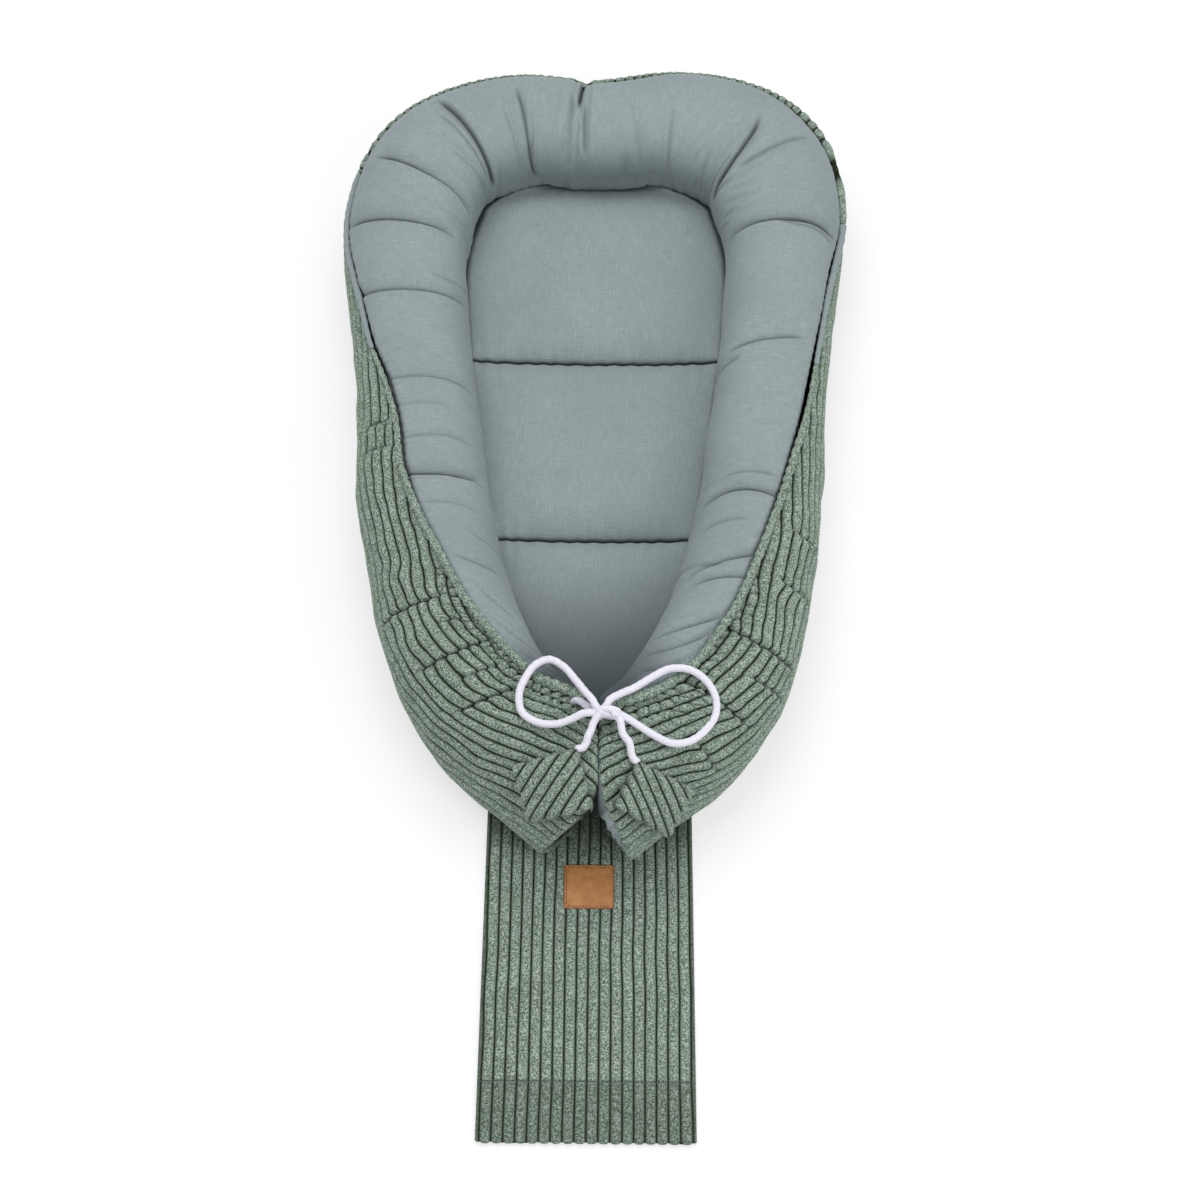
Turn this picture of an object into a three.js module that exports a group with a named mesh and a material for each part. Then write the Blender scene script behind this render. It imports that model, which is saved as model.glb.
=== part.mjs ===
// Infant lounger: a stuffed rim bent into a U round a padded bed, drawn together at the foot by a cord
// that is tied in a bow, with a corduroy flap under the foot.
// Millimetres. The origin lies on the floor under the bed. The head is at +Y, the foot at -Y, up is +Z.
import * as THREE from 'three';
import { mergeVertices } from 'three/addons/utils/BufferGeometryUtils.js';

// Fabrics and clearances
const clearance = 0.3;
const fabricThickness = 2.4;
const partingGap = 0.4;

// Rim: the centre line of the stuffed tube and its section
const halfSpan = 190;
const headReach = 389;
const legReach = 359;
const rimHalfWidth = 60;
const rimHalfHeight = 60;
const rimFlat = 1.5;
const legClearance = 1;
const legLean = 24;
const endBulge = 8;
const capThickness = 2.4;
const tuckDepth = 9;
const tuckHalfWidth = 13;
const tuckOffset = 14;

// Drawcord and its channel
const cordDiameter = 8;
const channelWall = 1.2;
const channelEndOffset = 12;

// Bed
const panelThickness = 2.4;
const sheetThickness = 1.2;
const bedCrown = 40;
const seamDip = 15;
const bedMargin = 89;
const upperSeam = 126;
const lowerSeam = 80;
const headMargin = 3;

// Flap
const flapHalfWidth = 98.5;
const flapFlare = 1.5;
const corduroyThickness = 3;
const liningThickness = 1.2;
const flapTuckIn = 15;
const flapLength = 274;
const hemWidth = 57;
const labelWidth = 47;
const labelHeight = 45;
const labelThickness = 1.5;
const labelMargin = 3;

// Leaf-shaped tabs on the cord ends
const leafHalfWidth = 37;
const leafPuff = 4.5;
const leafFabric = 1.6;
const leafDrape = 0.8;

// Bow
const knotHalfSize = new THREE.Vector3(11, 9, 7);
const knotPlace = new THREE.Vector3(10, -318, 136);

// The rim's centre line from the head to the end of one leg, as shares of the sizes above: place across,
// place along (head above zero, foot below), width, height, lift over the flap and lean; then the angle of
// the seam between lining and corduroy and what the right leg's seam lies further out, in degrees.
const rimShares = [
  [0, 0.990, 1, 0.983, 0, 0, 30, 0],
  [0.453, 1, 1.033, 1, 0, 0, 27, 0],
  [0.847, 0.905, 1.067, 1, 0, 0, 24, 0],
  [1, 0.689, 1.05, 1, 0, 0, 20, 0],
  [0.963, 0.424, 1, 1, 0, 0, 30, 0],
  [0.895, 0.154, 1, 1, 0, 0, 42, 0],
  [0.837, -0.111, 1.017, 1, 0, 0, 62, 0],
  [0.763, -0.362, 1.033, 1, 0.18, 0, 81, 5],
  [0.637, -0.599, 1.05, 1, 0.73, 0.083, 93, 9],
  [0.411, -0.827, 1, 1, 1, 0.583, 101, 11],
  [0.063, -1, 0.9, 0.95, 1, 1, 115, 6],
];
const sectionPower = 2.3;
const coverAngle = -88;
const bedAngle = 222;
const panelAngle = 245;
const liningAngle = 262;
const seamStep = 0.25;
const seamClosed = 1;

// The legs reach past the centre line's end by a share of their half width. The flap folds there.
const toeShare = 0.8;
const bedEnd = legReach - bedMargin;
const flapStart = bedEnd + flapTuckIn;
const flapFold = legReach + toeShare * rimHalfWidth;
const flapReach = flapFold + flapLength;

const boreRadius = cordDiameter / 2 + clearance;
const channelRadius = boreRadius + channelWall;
const flapThickness = corduroyThickness + clearance + liningThickness;
const legLift = flapThickness + legClearance;
const fillingGrow = -(fabricThickness + 2 * clearance);

const degrees = (angle) => THREE.MathUtils.degToRad(angle);
const mix = THREE.MathUtils.lerp;
const spread = (from, to, steps) => Array.from({ length: steps + 1 }, (_, i) => mix(from, to, i / steps));

// Solids

// A mesh through stations of equal counts of points. Each station is a closed run of points. The ends are
// closed by 'fan', to a given point or the middle, or by 'band', for a thin curved strip of two equal sides.
function loft(stations, ends, tips = []) {
  const count = stations[0].length;
  const points = stations.flat();
  const faces = [];
  const quad = (a, b, c, d) => faces.push(a, b, c, a, c, d);
  for (let s = 0; s + 1 < stations.length; s += 1) {
    for (let k = 0; k < count; k += 1) {
      const after = (k + 1) % count;
      const here = s * count;
      const corners = [here + k, here + after, here + count + after, here + count + k];
      // both sides of a strip are split alike, so that layers nest
      const isFarSide = ends === 'band' && k >= count / 2;
      quad(...(isFarSide ? [...corners.slice(1), corners[0]] : corners));
    }
  }
  const last = (stations.length - 1) * count;
  if (ends === 'band') {
    for (let k = 0; k + 1 < count / 2; k += 1) {
      const far = count - 1 - k;
      quad(far, far - 1, k + 1, k);
      quad(last + k, last + k + 1, last + far - 1, last + far);
    }
  } else {
    const middle = (station) => station.reduce((sum, p) => sum.add(p), new THREE.Vector3()).divideScalar(count);
    const first = points.push(tips[0] ?? middle(stations[0])) - 1;
    const final = points.push(tips[1] ?? middle(stations.at(-1))) - 1;
    for (let k = 0; k < count; k += 1) {
      const after = (k + 1) % count;
      faces.push(first, after, k);
      faces.push(final, last + k, last + after);
    }
  }
  return meshOf(points, faces);
}

// A pipe through outer and inner stations, open at both ends
function pipe(outer, inner) {
  const count = outer[0].length;
  const half = outer.length * count;
  const points = [...outer.flat(), ...inner.flat()];
  const faces = [];
  const quad = (a, b, c, d) => faces.push(a, b, c, a, c, d);
  const last = half - count;
  for (let k = 0; k < count; k += 1) {
    const after = (k + 1) % count;
    for (let s = 0; s < last; s += count) {
      quad(s + k, s + after, s + count + after, s + count + k);
      quad(half + s + k, half + s + count + k, half + s + count + after, half + s + after);
    }
    quad(k, half + k, half + after, after);
    quad(last + k, last + after, half + last + after, half + last + k);
  }
  return meshOf(points, faces);
}

// A closed geometry with its faces pointing out
function meshOf(points, faces) {
  const corner = (i) => points[faces[i]];
  let volume = 0;
  for (let i = 0; i < faces.length; i += 3) {
    volume += corner(i).dot(new THREE.Vector3().crossVectors(corner(i + 1), corner(i + 2)));
  }
  const order = volume > 0 ? faces : [...faces].reverse();
  const geometry = new THREE.BufferGeometry();
  geometry.setAttribute('position', new THREE.Float32BufferAttribute(points.flatMap((p) => [p.x, p.y, p.z]), 3));
  geometry.setIndex(order);
  const merged = mergeVertices(geometry);
  merged.computeVertexNormals();
  return merged;
}

// A layer between two surfaces given over rows and columns
function layer(rows, columns, upper, lower) {
  const backwards = [...columns].reverse();
  const ring = (row) => [...columns.map((c) => upper(row, c)), ...backwards.map((c) => lower(row, c))];
  return loft(rows.map(ring), 'band');
}

// A tube along hand-placed points
function cordAlong(points, diameter, step) {
  const curve = new THREE.CatmullRomCurve3(points);
  const sides = 8;
  const section = new THREE.Shape(
    spread(0, 2 * Math.PI, sides).slice(0, sides)
      .map((a) => new THREE.Vector2(Math.cos(a), Math.sin(a)).multiplyScalar(diameter / 2)),
  );
  const steps = Math.max(2, Math.round(curve.getLength() / step));
  return new THREE.ExtrudeGeometry(section, { steps, extrudePath: curve, bevelEnabled: false });
}

// A flat outline raised from one height to another
function slab(corners, from, to) {
  const shape = new THREE.Shape(corners.map(([x, y]) => new THREE.Vector2(x, y)));
  return new THREE.ExtrudeGeometry(shape, { depth: to - from, bevelEnabled: false }).translate(0, 0, from);
}

// Rim surface

const mirrored = ([across, ...rest], sign) => [across * sign, ...rest.slice(0, -1), rest.at(-1) * sign];
const stations = [
  ...rimShares.slice(1).reverse().map((row) => mirrored(row, -1)),
  ...rimShares.map((row) => mirrored(row, 1)),
].map(([across, along, wide, tall, lift, lean, seam, roll]) => [
  across * halfSpan,
  along * (along > 0 ? headReach : legReach),
  wide * rimHalfWidth,
  tall * rimHalfHeight,
  lift * legLift,
  lean * legLean,
  seam - roll,
]);

// Everything about the rim at a share of its way from the left leg's end to the right leg's
function rimAt(share) {
  const pieces = stations.length - 1;
  const at = THREE.MathUtils.clamp(share, 0, 1) * pieces;
  const i = Math.min(Math.floor(at), pieces - 1);
  const f = at - i;
  const reflect = (near, far) => near.map((v, k) => 2 * v - far[k]);
  const a = stations[i - 1] ?? reflect(stations[0], stations[1]);
  const b = stations[i];
  const c = stations[i + 1];
  const d = stations[i + 2] ?? reflect(stations[pieces], stations[pieces - 1]);
  const value = b.map((_, k) => 0.5 * (2 * b[k] + (c[k] - a[k]) * f
    + (2 * a[k] - 5 * b[k] + 4 * c[k] - d[k]) * f ** 2 + (3 * b[k] - 3 * c[k] + d[k] - a[k]) * f ** 3));
  const slope = [0, 1].map((k) => 0.5 * (c[k] - a[k]
    + 2 * (2 * a[k] - 5 * b[k] + 4 * c[k] - d[k]) * f + 3 * (3 * b[k] - 3 * c[k] + d[k] - a[k]) * f ** 2));
  const run = Math.hypot(...slope);
  const [x, y, wide, tall, lift, lean, seam] = value;
  return { x, y, wide, tall, lift: Math.max(lift, 0), lean, seam, forward: [slope[0] / run, slope[1] / run] };
}

const rimLength = spread(0, 1, 400).map(rimAt)
  .reduce((sum, p, i, all) => (i ? sum + Math.hypot(p.x - all[i - 1].x, p.y - all[i - 1].y) : 0), 0);
const tuckShare = 0.5 - tuckOffset / rimLength;
const tuckHalfShare = tuckHalfWidth / rimLength;

// A point of the rim's section: outward and up from the centre line, on a rounded square
function sectionAt(rim, angle, grow) {
  const across = Math.cos(degrees(angle));
  const upward = Math.sin(degrees(angle));
  const reach = (Math.abs(across) ** sectionPower + Math.abs(upward) ** sectionPower) ** (-1 / sectionPower);
  const up = (rim.tall + grow) * upward * reach;
  return { out: (rim.wide + grow) * across * reach - rim.lean * (up / rim.tall), up };
}

// Keeps a leg on its own side of the parting line
const legShares = [0.25, 0.75];
function onOwnSide(point, share, grow) {
  const side = Math.sign(share - 0.5);
  const isLeg = share < legShares[0] || share > legShares[1];
  if (isLeg && point.x * side < partingGap - grow) {
    point.x = side * (partingGap - grow);
  }
  return point;
}

// The rim's surface at a share of its length and an angle round it, from 0 outward over 90 at the top
function rimSurface(share, angle, grow) {
  const rim = rimAt(share);
  const nearTuck = Math.max(0, 1 - Math.abs(share - tuckShare) / tuckHalfShare);
  const pull = tuckDepth * nearTuck * Math.max(0, Math.sin(degrees(angle)));
  const { out, up } = sectionAt(rim, angle, grow - pull);
  const level = Math.max(rim.tall + rim.lift - rimFlat + up, rim.lift - grow);
  const [fx, fy] = rim.forward;
  return onOwnSide(new THREE.Vector3(rim.x - fy * out, rim.y + fx * out, level), share, grow);
}

// Channel and seam

const channelRise = channelRadius - fabricThickness;
const channelCentre = (share) => rimSurface(share, rimAt(share).seam, channelRise);

// The share of the rim's length where the channel ends, its set distance from the parting line
function channelEnd(isRight) {
  let inside = isRight ? 0.85 : 0.15;
  let outside = isRight ? 1 : 0;
  for (let i = 0; i < 40; i += 1) {
    const middle = (inside + outside) / 2;
    if (Math.abs(channelCentre(middle).x) > channelEndOffset) {
      inside = middle;
    } else {
      outside = middle;
    }
  }
  return inside;
}
const leftEnd = channelEnd(false);
const rightEnd = channelEnd(true);

// Half the angle that the skins leave open for the channel
function seamOpening(share, sign) {
  if (share < leftEnd || share > rightEnd) {
    return seamClosed;
  }
  const rim = rimAt(share);
  const centre = channelCentre(share);
  let opening = seamStep;
  while (opening < 45) {
    const edge = [0, -fabricThickness].map((grow) => rimSurface(share, rim.seam + sign * opening, grow));
    const nearest = new THREE.Line3(...edge).closestPointToPoint(centre, true, new THREE.Vector3());
    if (nearest.distanceTo(centre) > channelRadius + 2 * clearance) {
      break;
    }
    opening += seamStep;
  }
  return opening;
}

// Stations along the rim: a few up to each channel end, even ones along the channel, and the tuck
const endShares = [0, 0.3, 0.65];
const besideTuckShare = 0.02;
const evenSteps = 22;
const rimStops = [
  ...endShares.map((s) => s * leftEnd),
  ...spread(leftEnd, 0.5 - besideTuckShare, evenSteps),
  tuckShare - tuckHalfShare,
  tuckShare,
  tuckShare + tuckHalfShare,
  ...spread(0.5 + besideTuckShare, rightEnd, evenSteps),
  ...endShares.map((s) => 1 - s * (1 - rightEnd)).reverse(),
];

const coverAngles = (share) => spread(coverAngle, rimAt(share).seam - seamOpening(share, -1), 9);
const liningAngles = (share) => [
  ...spread(rimAt(share).seam + seamOpening(share, 1), bedAngle, 7).slice(0, -1),
  ...spread(bedAngle, liningAngle, 2),
];

// Parts

const part = new THREE.Group();

function addPiece(name, geometry, material) {
  const mesh = new THREE.Mesh(geometry, material.clone());
  mesh.name = name;
  part.add(mesh);
  return mesh;
}
const cloth = (color) => new THREE.MeshStandardMaterial({ color, roughness: 0.9, metalness: 0 });
const corduroy = cloth(0x7c9182);
const cotton = cloth(0x7f8e91);
const filling = cloth(0xf0efea);
const cordCotton = cloth(0xe6e3ee);
const leather = new THREE.MeshStandardMaterial({ color: 0xb0784a, roughness: 0.6, metalness: 0 });

// Rim: corduroy outside, cotton lining inside, filling within

function skin(anglesAt) {
  const ring = (share) => {
    const angles = anglesAt(share);
    return [
      ...angles.map((a) => rimSurface(share, a, 0)),
      ...[...angles].reverse().map((a) => rimSurface(share, a, -fabricThickness)),
    ];
  };
  return loft(rimStops.map(ring), 'band');
}
addPiece('outer_cover', skin(coverAngles), corduroy);
addPiece('inner_lining', skin(liningAngles), cotton);

// Rings of a leg's rounded end, from the rim of its disc towards the middle, and the tip
const domeShares = [1, 0.8, 0.5, 0.2];
const fillingRing = (share) => [...coverAngles(share), ...liningAngles(share)]
  .map((a) => rimSurface(share, a, fillingGrow));
function dome(side, inset) {
  const [share, next] = side > 0 ? [1, rimStops.at(-2)] : [0, rimStops[1]];
  const nextRing = fillingRing(next);
  const inward = inset / (rimLength * Math.abs(next - share));
  const ring = fillingRing(share).map((p, i) => p.lerp(nextRing[i], inward));
  const middle = ring.reduce((sum, p) => sum.add(p), new THREE.Vector3()).divideScalar(ring.length);
  const [fx, fy] = rimAt(share).forward;
  const away = new THREE.Vector3(fx * side, fy * side, 0);
  const raised = (point, scale) => onOwnSide(
    middle.clone().lerp(point, scale).addScaledVector(away, endBulge * (1 - scale ** 2)), share, fillingGrow);
  return { rings: domeShares.map((scale) => ring.map((p) => raised(p, scale))), tip: raised(middle, 0) };
}

for (const [name, side] of [['end_cap_left', -1], ['end_cap_right', 1]]) {
  const outside = dome(side, 0);
  const inside = dome(side, capThickness);
  const rings = [...[...inside.rings].reverse(), ...outside.rings];
  addPiece(name, loft(rings, 'fan', [inside.tip, outside.tip]), cotton);
}

function rimFilling() {
  const left = dome(-1, capThickness + clearance);
  const right = dome(1, capThickness + clearance);
  const rings = rimStops.slice(1, -1).map(fillingRing);
  return loft([...[...left.rings].reverse(), ...rings, ...right.rings], 'fan', [left.tip, right.tip]);
}
addPiece('rim_filling', rimFilling(), filling);

// Channel along the seam, with the drawcord in it

const channelStops = rimStops.filter((share) => share >= leftEnd && share <= rightEnd);
const channelLine = channelStops.map(channelCentre);
const channelHeading = channelLine.map((_, i) => {
  const before = channelLine[Math.max(i - 1, 0)];
  const after = channelLine[Math.min(i + 1, channelLine.length - 1)];
  return after.clone().sub(before).normalize();
});

function channelRings(radius, sides) {
  return channelLine.map((centre, i) => {
    const heading = channelHeading[i];
    const share = channelStops[i];
    const outward = rimSurface(share, rimAt(share).seam, channelRise + rimHalfWidth).sub(centre);
    const side = new THREE.Vector3().crossVectors(heading, outward).normalize();
    const top = new THREE.Vector3().crossVectors(side, heading);
    return spread(0, 2 * Math.PI, sides).slice(0, sides).map((a) => centre.clone()
      .addScaledVector(side, radius * Math.cos(a)).addScaledVector(top, radius * Math.sin(a)));
  });
}
const cordSides = 8;
addPiece('cord_channel', pipe(channelRings(channelRadius, cordSides), channelRings(boreRadius, cordSides)), cotton);
addPiece('drawcord', loft(channelRings(cordDiameter / 2, cordSides), 'fan'), cordCotton);

// Bed: a panel on the floor, three filled chambers and the sheet sewn down between them

const bedEdge = rimStops.filter((share) => share >= 0.5)
  .map((share) => rimSurface(share, bedAngle, clearance + sheetThickness / 2));

// Half width and height of the bed's edge at a place along it
function bedEdgeAt(y) {
  for (let i = bedEdge.length - 1; i > 0; i -= 1) {
    const low = bedEdge[i];
    const high = bedEdge[i - 1];
    if (low.y <= y && high.y >= y) {
      const f = (y - low.y) / (high.y - low.y);
      return { x: mix(low.x, high.x, f), z: mix(low.z, high.z, f) };
    }
  }
  return { x: bedEdge.at(-1).x, z: bedEdge.at(-1).z };
}

const headY = bedEdge[0].y - headMargin;
const chamberEnds = [-bedEnd, -lowerSeam, upperSeam, headY];
const chamberShares = [0, 0.04, 0.12, 0.3, 0.5, 0.7, 0.88, 0.96];
const crossShares = [-1, -0.94, -0.8, -0.55, -0.28, 0, 0.28, 0.55, 0.8, 0.94, 1];
const crownPower = 3;
const channelPower = 6;

// Height of the sheet's top: crowned across and along each chamber, low at the seams and edges
function bedTop(y, across) {
  const edge = bedEdgeAt(y).z;
  const i = Math.max(1, chamberEnds.findIndex((end) => y <= end));
  const f = (y - chamberEnds[i - 1]) / (chamberEnds[i] - chamberEnds[i - 1]);
  const along = 1 - Math.abs(2 * f - 1) ** channelPower;
  const crown = 1 - Math.abs(across) ** crownPower;
  const floor = mix(edge, seamDip, crown);
  return mix(floor, mix(edge, bedCrown, crown), along);
}
const bedPoint = (y, across, drop) => new THREE.Vector3(across * bedEdgeAt(y).x, y, bedTop(y, across) - drop);
const chamberRows = [0, 1, 2].map((i) => chamberShares.map((s) => mix(chamberEnds[i], chamberEnds[i + 1], s)));
const sheetRows = [...chamberRows.flat(), headY];
addPiece('bed_sheet', layer(
  sheetRows, crossShares,
  (y, s) => bedPoint(y, s, 0),
  (y, s) => bedPoint(y, s, sheetThickness),
), cotton);

const chamberNames = ['bed_filling_foot', 'bed_filling_middle', 'bed_filling_head'];
chamberNames.forEach((name, i) => {
  addPiece(name, layer(
    chamberRows[i].slice(1), crossShares.slice(1, -1),
    (y, s) => bedPoint(y, s, sheetThickness + clearance),
    (y, s) => new THREE.Vector3(s * bedEdgeAt(y).x, y, panelThickness + clearance),
  ), filling);
});

const panelEdge = rimStops.filter((share) => share >= 0.5)
  .map((share) => rimSurface(share, panelAngle, clearance));
const panelFoot = -(flapStart - clearance);
const panelSide = panelEdge.filter((p) => p.y > panelFoot);
const nextEdge = panelEdge[panelSide.length];
const lastEdge = panelSide.at(-1);
const footShare = (panelFoot - lastEdge.y) / (nextEdge.y - lastEdge.y);
const panelRight = [...panelSide.map((p) => [p.x, p.y]), [mix(lastEdge.x, nextEdge.x, footShare), panelFoot]];
const panelLeft = panelRight.map(([x, y]) => [-x, y]).reverse();
const panelOutline = [...panelRight, ...panelLeft.filter(([x]) => x < -clearance)];
addPiece('base_panel', slab(panelOutline, 0, panelThickness), cotton);

// Flap: its root under the legs stays put, the rest folds up

const flapWidthAt = (y) => flapHalfWidth + flapFlare * (-y - flapStart) / (flapReach - flapStart);
const flapStrip = (near, far) => [
  [-flapWidthAt(near), near],
  [-flapWidthAt(far), far],
  [flapWidthAt(far), far],
  [flapWidthAt(near), near],
];
const flapTop = flapThickness;
const flapFoldY = -(flapFold + clearance);
const hemY = -(flapReach - hemWidth);
const flapTip = -(flapReach - corduroyThickness - clearance);
addPiece('flap_root', slab(flapStrip(-flapStart, -flapFold), 0, flapTop), corduroy);
addPiece('flap_front', slab(flapStrip(flapFoldY, flapTip), liningThickness + clearance, flapTop), corduroy);
addPiece('flap_backing', slab(flapStrip(flapFoldY, hemY + clearance), 0, liningThickness), cotton);

// The hem turns from the tip under the front
const hemProfile = [
  [hemY, 0], [-flapReach, 0], [-flapReach, flapTop], [flapTip - clearance, flapTop],
  [flapTip - clearance, liningThickness], [hemY, liningThickness],
];
const hemHalf = flapWidthAt(-flapReach);
const hemShape = new THREE.Shape(hemProfile.map(([y, z]) => new THREE.Vector2(y, z)));
const sideways = new THREE.Matrix4().makeBasis(
  new THREE.Vector3(0, 1, 0), new THREE.Vector3(0, 0, 1), new THREE.Vector3(1, 0, 0));
const hem = new THREE.ExtrudeGeometry(hemShape, { depth: 2 * hemHalf, bevelEnabled: false })
  .applyMatrix4(sideways)
  .translate(-hemHalf, 0, 0);
addPiece('flap_hem', hem, corduroy);

const label = new THREE.BoxGeometry(labelWidth, labelHeight, labelThickness);
const labelMesh = addPiece('label', label, leather);
labelMesh.position.set(
  0, -(flapFold + labelMargin + labelHeight / 2), flapTop + clearance + labelThickness / 2);

// Leaf tabs: each hangs from the cord's end over a leg

// A point beside a leg: along it from its end, round it, and clear of it. Below the level of the centre
// line it hangs straight down.
function besideLeg(side, along, angle, grow) {
  const rim = rimAt(1 - Math.max(along, 0) / rimLength);
  const past = Math.max(-along, 0);
  const [fx, fy] = rim.forward;
  const { out, up } = sectionAt(rim, Math.max(angle, 0), grow);
  const drop = (rim.tall + grow) * degrees(Math.min(angle, 0));
  const shift = rim.lean * (drop / rim.tall);
  const across = out - shift;
  return new THREE.Vector3(
    side * (rim.x + fx * past - fy * across),
    rim.y + fy * past + fx * across,
    rim.tall + rim.lift - rimFlat + up + drop,
  );
}

// Where each tab hangs, at its top corner and at its tip: along its leg as shares of the rim's half width,
// and degrees round it
const leaves = {
  left: { side: -1, alongShares: [0.05, -0.017], angles: [75, 4] },
  right: { side: 1, alongShares: [0.4, 0.183], angles: [54, -16] },
};
const leafRowShares = [0, 0.08, 0.22, 0.38, 0.54, 0.7, 0.86, 1];
const leafColumnShares = [-1, -0.85, -0.5, 0, 0.5, 0.85, 1];
const leafOutlineShares = [0.05, 0.93];
const leafPuffShares = [0.1, 0.9];
const leafFullness = 0.8;
const leafMiddle = leafDrape + leafFabric + clearance + leafPuff;

function leafPoint({ side, alongShares, angles }, row, column, grow) {
  const width = leafHalfWidth * Math.sin(Math.PI * mix(...leafOutlineShares, row)) ** leafFullness;
  const along = mix(...alongShares, row) * rimHalfWidth + column * width;
  return besideLeg(side, along, mix(...angles, row), leafMiddle + grow);
}
function leafPuffAt(row, column) {
  return leafPuff * (1 - column ** 4) * Math.sin(Math.PI * mix(...leafPuffShares, row));
}

for (const [name, leaf] of Object.entries(leaves)) {
  const half = clearance / 2;
  const face = (sign, depth) => (row, column) => (
    leafPoint(leaf, row, column, sign * (leafPuffAt(row, column) + half + depth)));
  const front = layer(leafRowShares, leafColumnShares, face(1, leafFabric), face(1, 0));
  const back = layer(leafRowShares, leafColumnShares, face(-1, 0), face(-1, leafFabric));
  const inside = layer(
    leafRowShares.slice(1, -1), leafColumnShares.slice(1, -1), face(1, -clearance), face(-1, -clearance));
  addPiece(`leaf_${name}_front`, front, corduroy);
  addPiece(`leaf_${name}_back`, back, corduroy);
  addPiece(`leaf_${name}_filling`, inside, filling);
}

// Bow: the cord comes out of both ends of the channel into the knot, and leaves it in two loops and two
// tails. The routes are chosen by hand.

const route = (...points) => points.map((p) => new THREE.Vector3(...p));
const leadStart = (end, sign) => [clearance, cordDiameter / 4, cordDiameter / 2]
  .map((ahead) => channelLine.at(end).clone().addScaledVector(channelHeading.at(end), sign * ahead));

// Where a stretch of cord meets the knot: two points square to the knot's surface, seen from its middle in
// the direction given in shares of its half size
function knotPort(...shares) {
  const toward = new THREE.Vector3(...shares).normalize();
  const seat = toward.clone().multiply(knotHalfSize).add(knotPlace);
  const away = toward.clone().divide(knotHalfSize).normalize();
  return [clearance, cordDiameter / 2].map((distance) => seat.clone().addScaledVector(away, distance));
}
const reversed = (points) => [...points].reverse();

// The end of a tail: two points square to the top of its tab
function tabPort(leaf) {
  const top = leafPoint(leaf, 0, 0, 0);
  const away = top.clone().sub(leafPoint(leaf, leafRowShares[1], 0, 0)).normalize();
  return [cordDiameter / 2, 0].map((distance) => (
    top.clone().addScaledVector(away, clearance + leafFabric + distance)));
}

const cordStep = 2 * cordDiameter;
const cordPieces = {
  bow_loop_left: [
    ...knotPort(-0.5, 0.85, 0.1),
    ...route(
      [-4, -297, 135], [-14, -281, 130], [-25, -267, 129], [-37, -262, 133], [-49, -268, 136], [-59, -282, 136],
      [-65, -299, 132], [-62, -314, 128], [-50, -323, 127], [-31, -326, 128], [-15, -322, 132],
    ),
    ...reversed(knotPort(-1, -0.05, 0)),
  ],
  bow_loop_right: [
    ...knotPort(0.5, 0.85, 0.1),
    ...route(
      [27, -299, 136], [40, -291, 133], [56, -281, 135], [72, -273, 137], [91, -273, 136], [106, -281, 130],
      [115, -294, 122], [115, -309, 116], [106, -323, 113], [91, -335, 113], [75, -339, 117], [60, -335, 123],
      [46, -328, 128], [33, -321, 132],
    ),
    ...reversed(knotPort(1, -0.05, -0.05)),
  ],
  cord_lead_left: [...leadStart(0, -1), ...route([-5, -302, 121]), ...reversed(knotPort(-0.6, 0.4, -0.7))],
  cord_lead_right: [...leadStart(-1, 1), ...route([6, -317, 124.2])],
  cord_tail_left: [
    ...knotPort(-0.5, -0.8, -0.3),
    ...route([1, -334, 130], [-1, -338, 129.5]),
    ...tabPort(leaves.left),
  ],
  cord_tail_right: [
    ...knotPort(0.35, -0.87, -0.35),
    ...route([22, -332, 130], [31, -337, 128], [36, -343, 126]),
    ...tabPort(leaves.right),
  ],
};
for (const [name, points] of Object.entries(cordPieces)) {
  addPiece(name, cordAlong(points, cordDiameter, cordStep), cordCotton);
}

const knotAround = 14;
const knotRings = 10;
const knot = new THREE.SphereGeometry(1, knotAround, knotRings).scale(...knotHalfSize.toArray());
addPiece('bow_knot', knot, cordCotton).position.copy(knotPlace);

export default part;
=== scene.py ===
import math

import bmesh
import bpy
import numpy as np
from mathutils import Matrix, Vector


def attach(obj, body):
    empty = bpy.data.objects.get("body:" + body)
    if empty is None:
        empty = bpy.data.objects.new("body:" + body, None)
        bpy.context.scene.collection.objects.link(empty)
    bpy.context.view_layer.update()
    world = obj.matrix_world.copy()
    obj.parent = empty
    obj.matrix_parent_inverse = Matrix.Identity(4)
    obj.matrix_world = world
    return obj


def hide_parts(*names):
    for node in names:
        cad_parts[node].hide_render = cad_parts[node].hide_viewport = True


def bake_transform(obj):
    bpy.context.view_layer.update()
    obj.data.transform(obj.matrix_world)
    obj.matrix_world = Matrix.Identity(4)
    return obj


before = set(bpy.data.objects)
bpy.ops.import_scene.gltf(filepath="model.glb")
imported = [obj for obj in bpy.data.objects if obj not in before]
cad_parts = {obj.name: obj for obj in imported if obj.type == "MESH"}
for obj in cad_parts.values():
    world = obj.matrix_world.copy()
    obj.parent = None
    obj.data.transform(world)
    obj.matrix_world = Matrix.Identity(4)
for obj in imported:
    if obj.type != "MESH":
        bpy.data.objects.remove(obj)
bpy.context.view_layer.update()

print("frame loaded:", len(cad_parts), "nodes")


# Camera

# The photograph's view: pixels are those of its 1200 by 1200 frame
viewpoint = {
    "target": (0.0056, -0.040, 0.040), "elevation": 59.0, "yaw": 0.56, "distance": 3.300,
    "focalPixels": 3380.0, "targetPixel": (599.0, 505.0), "framePixels": 1200.0, "sensor": 36.0,
    "near": 0.1, "far": 50.0,
}


def turned(vector, degrees):
    # a vector turned about Z
    return Matrix.Rotation(math.radians(degrees), 3, "Z") @ Vector(vector)


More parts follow.
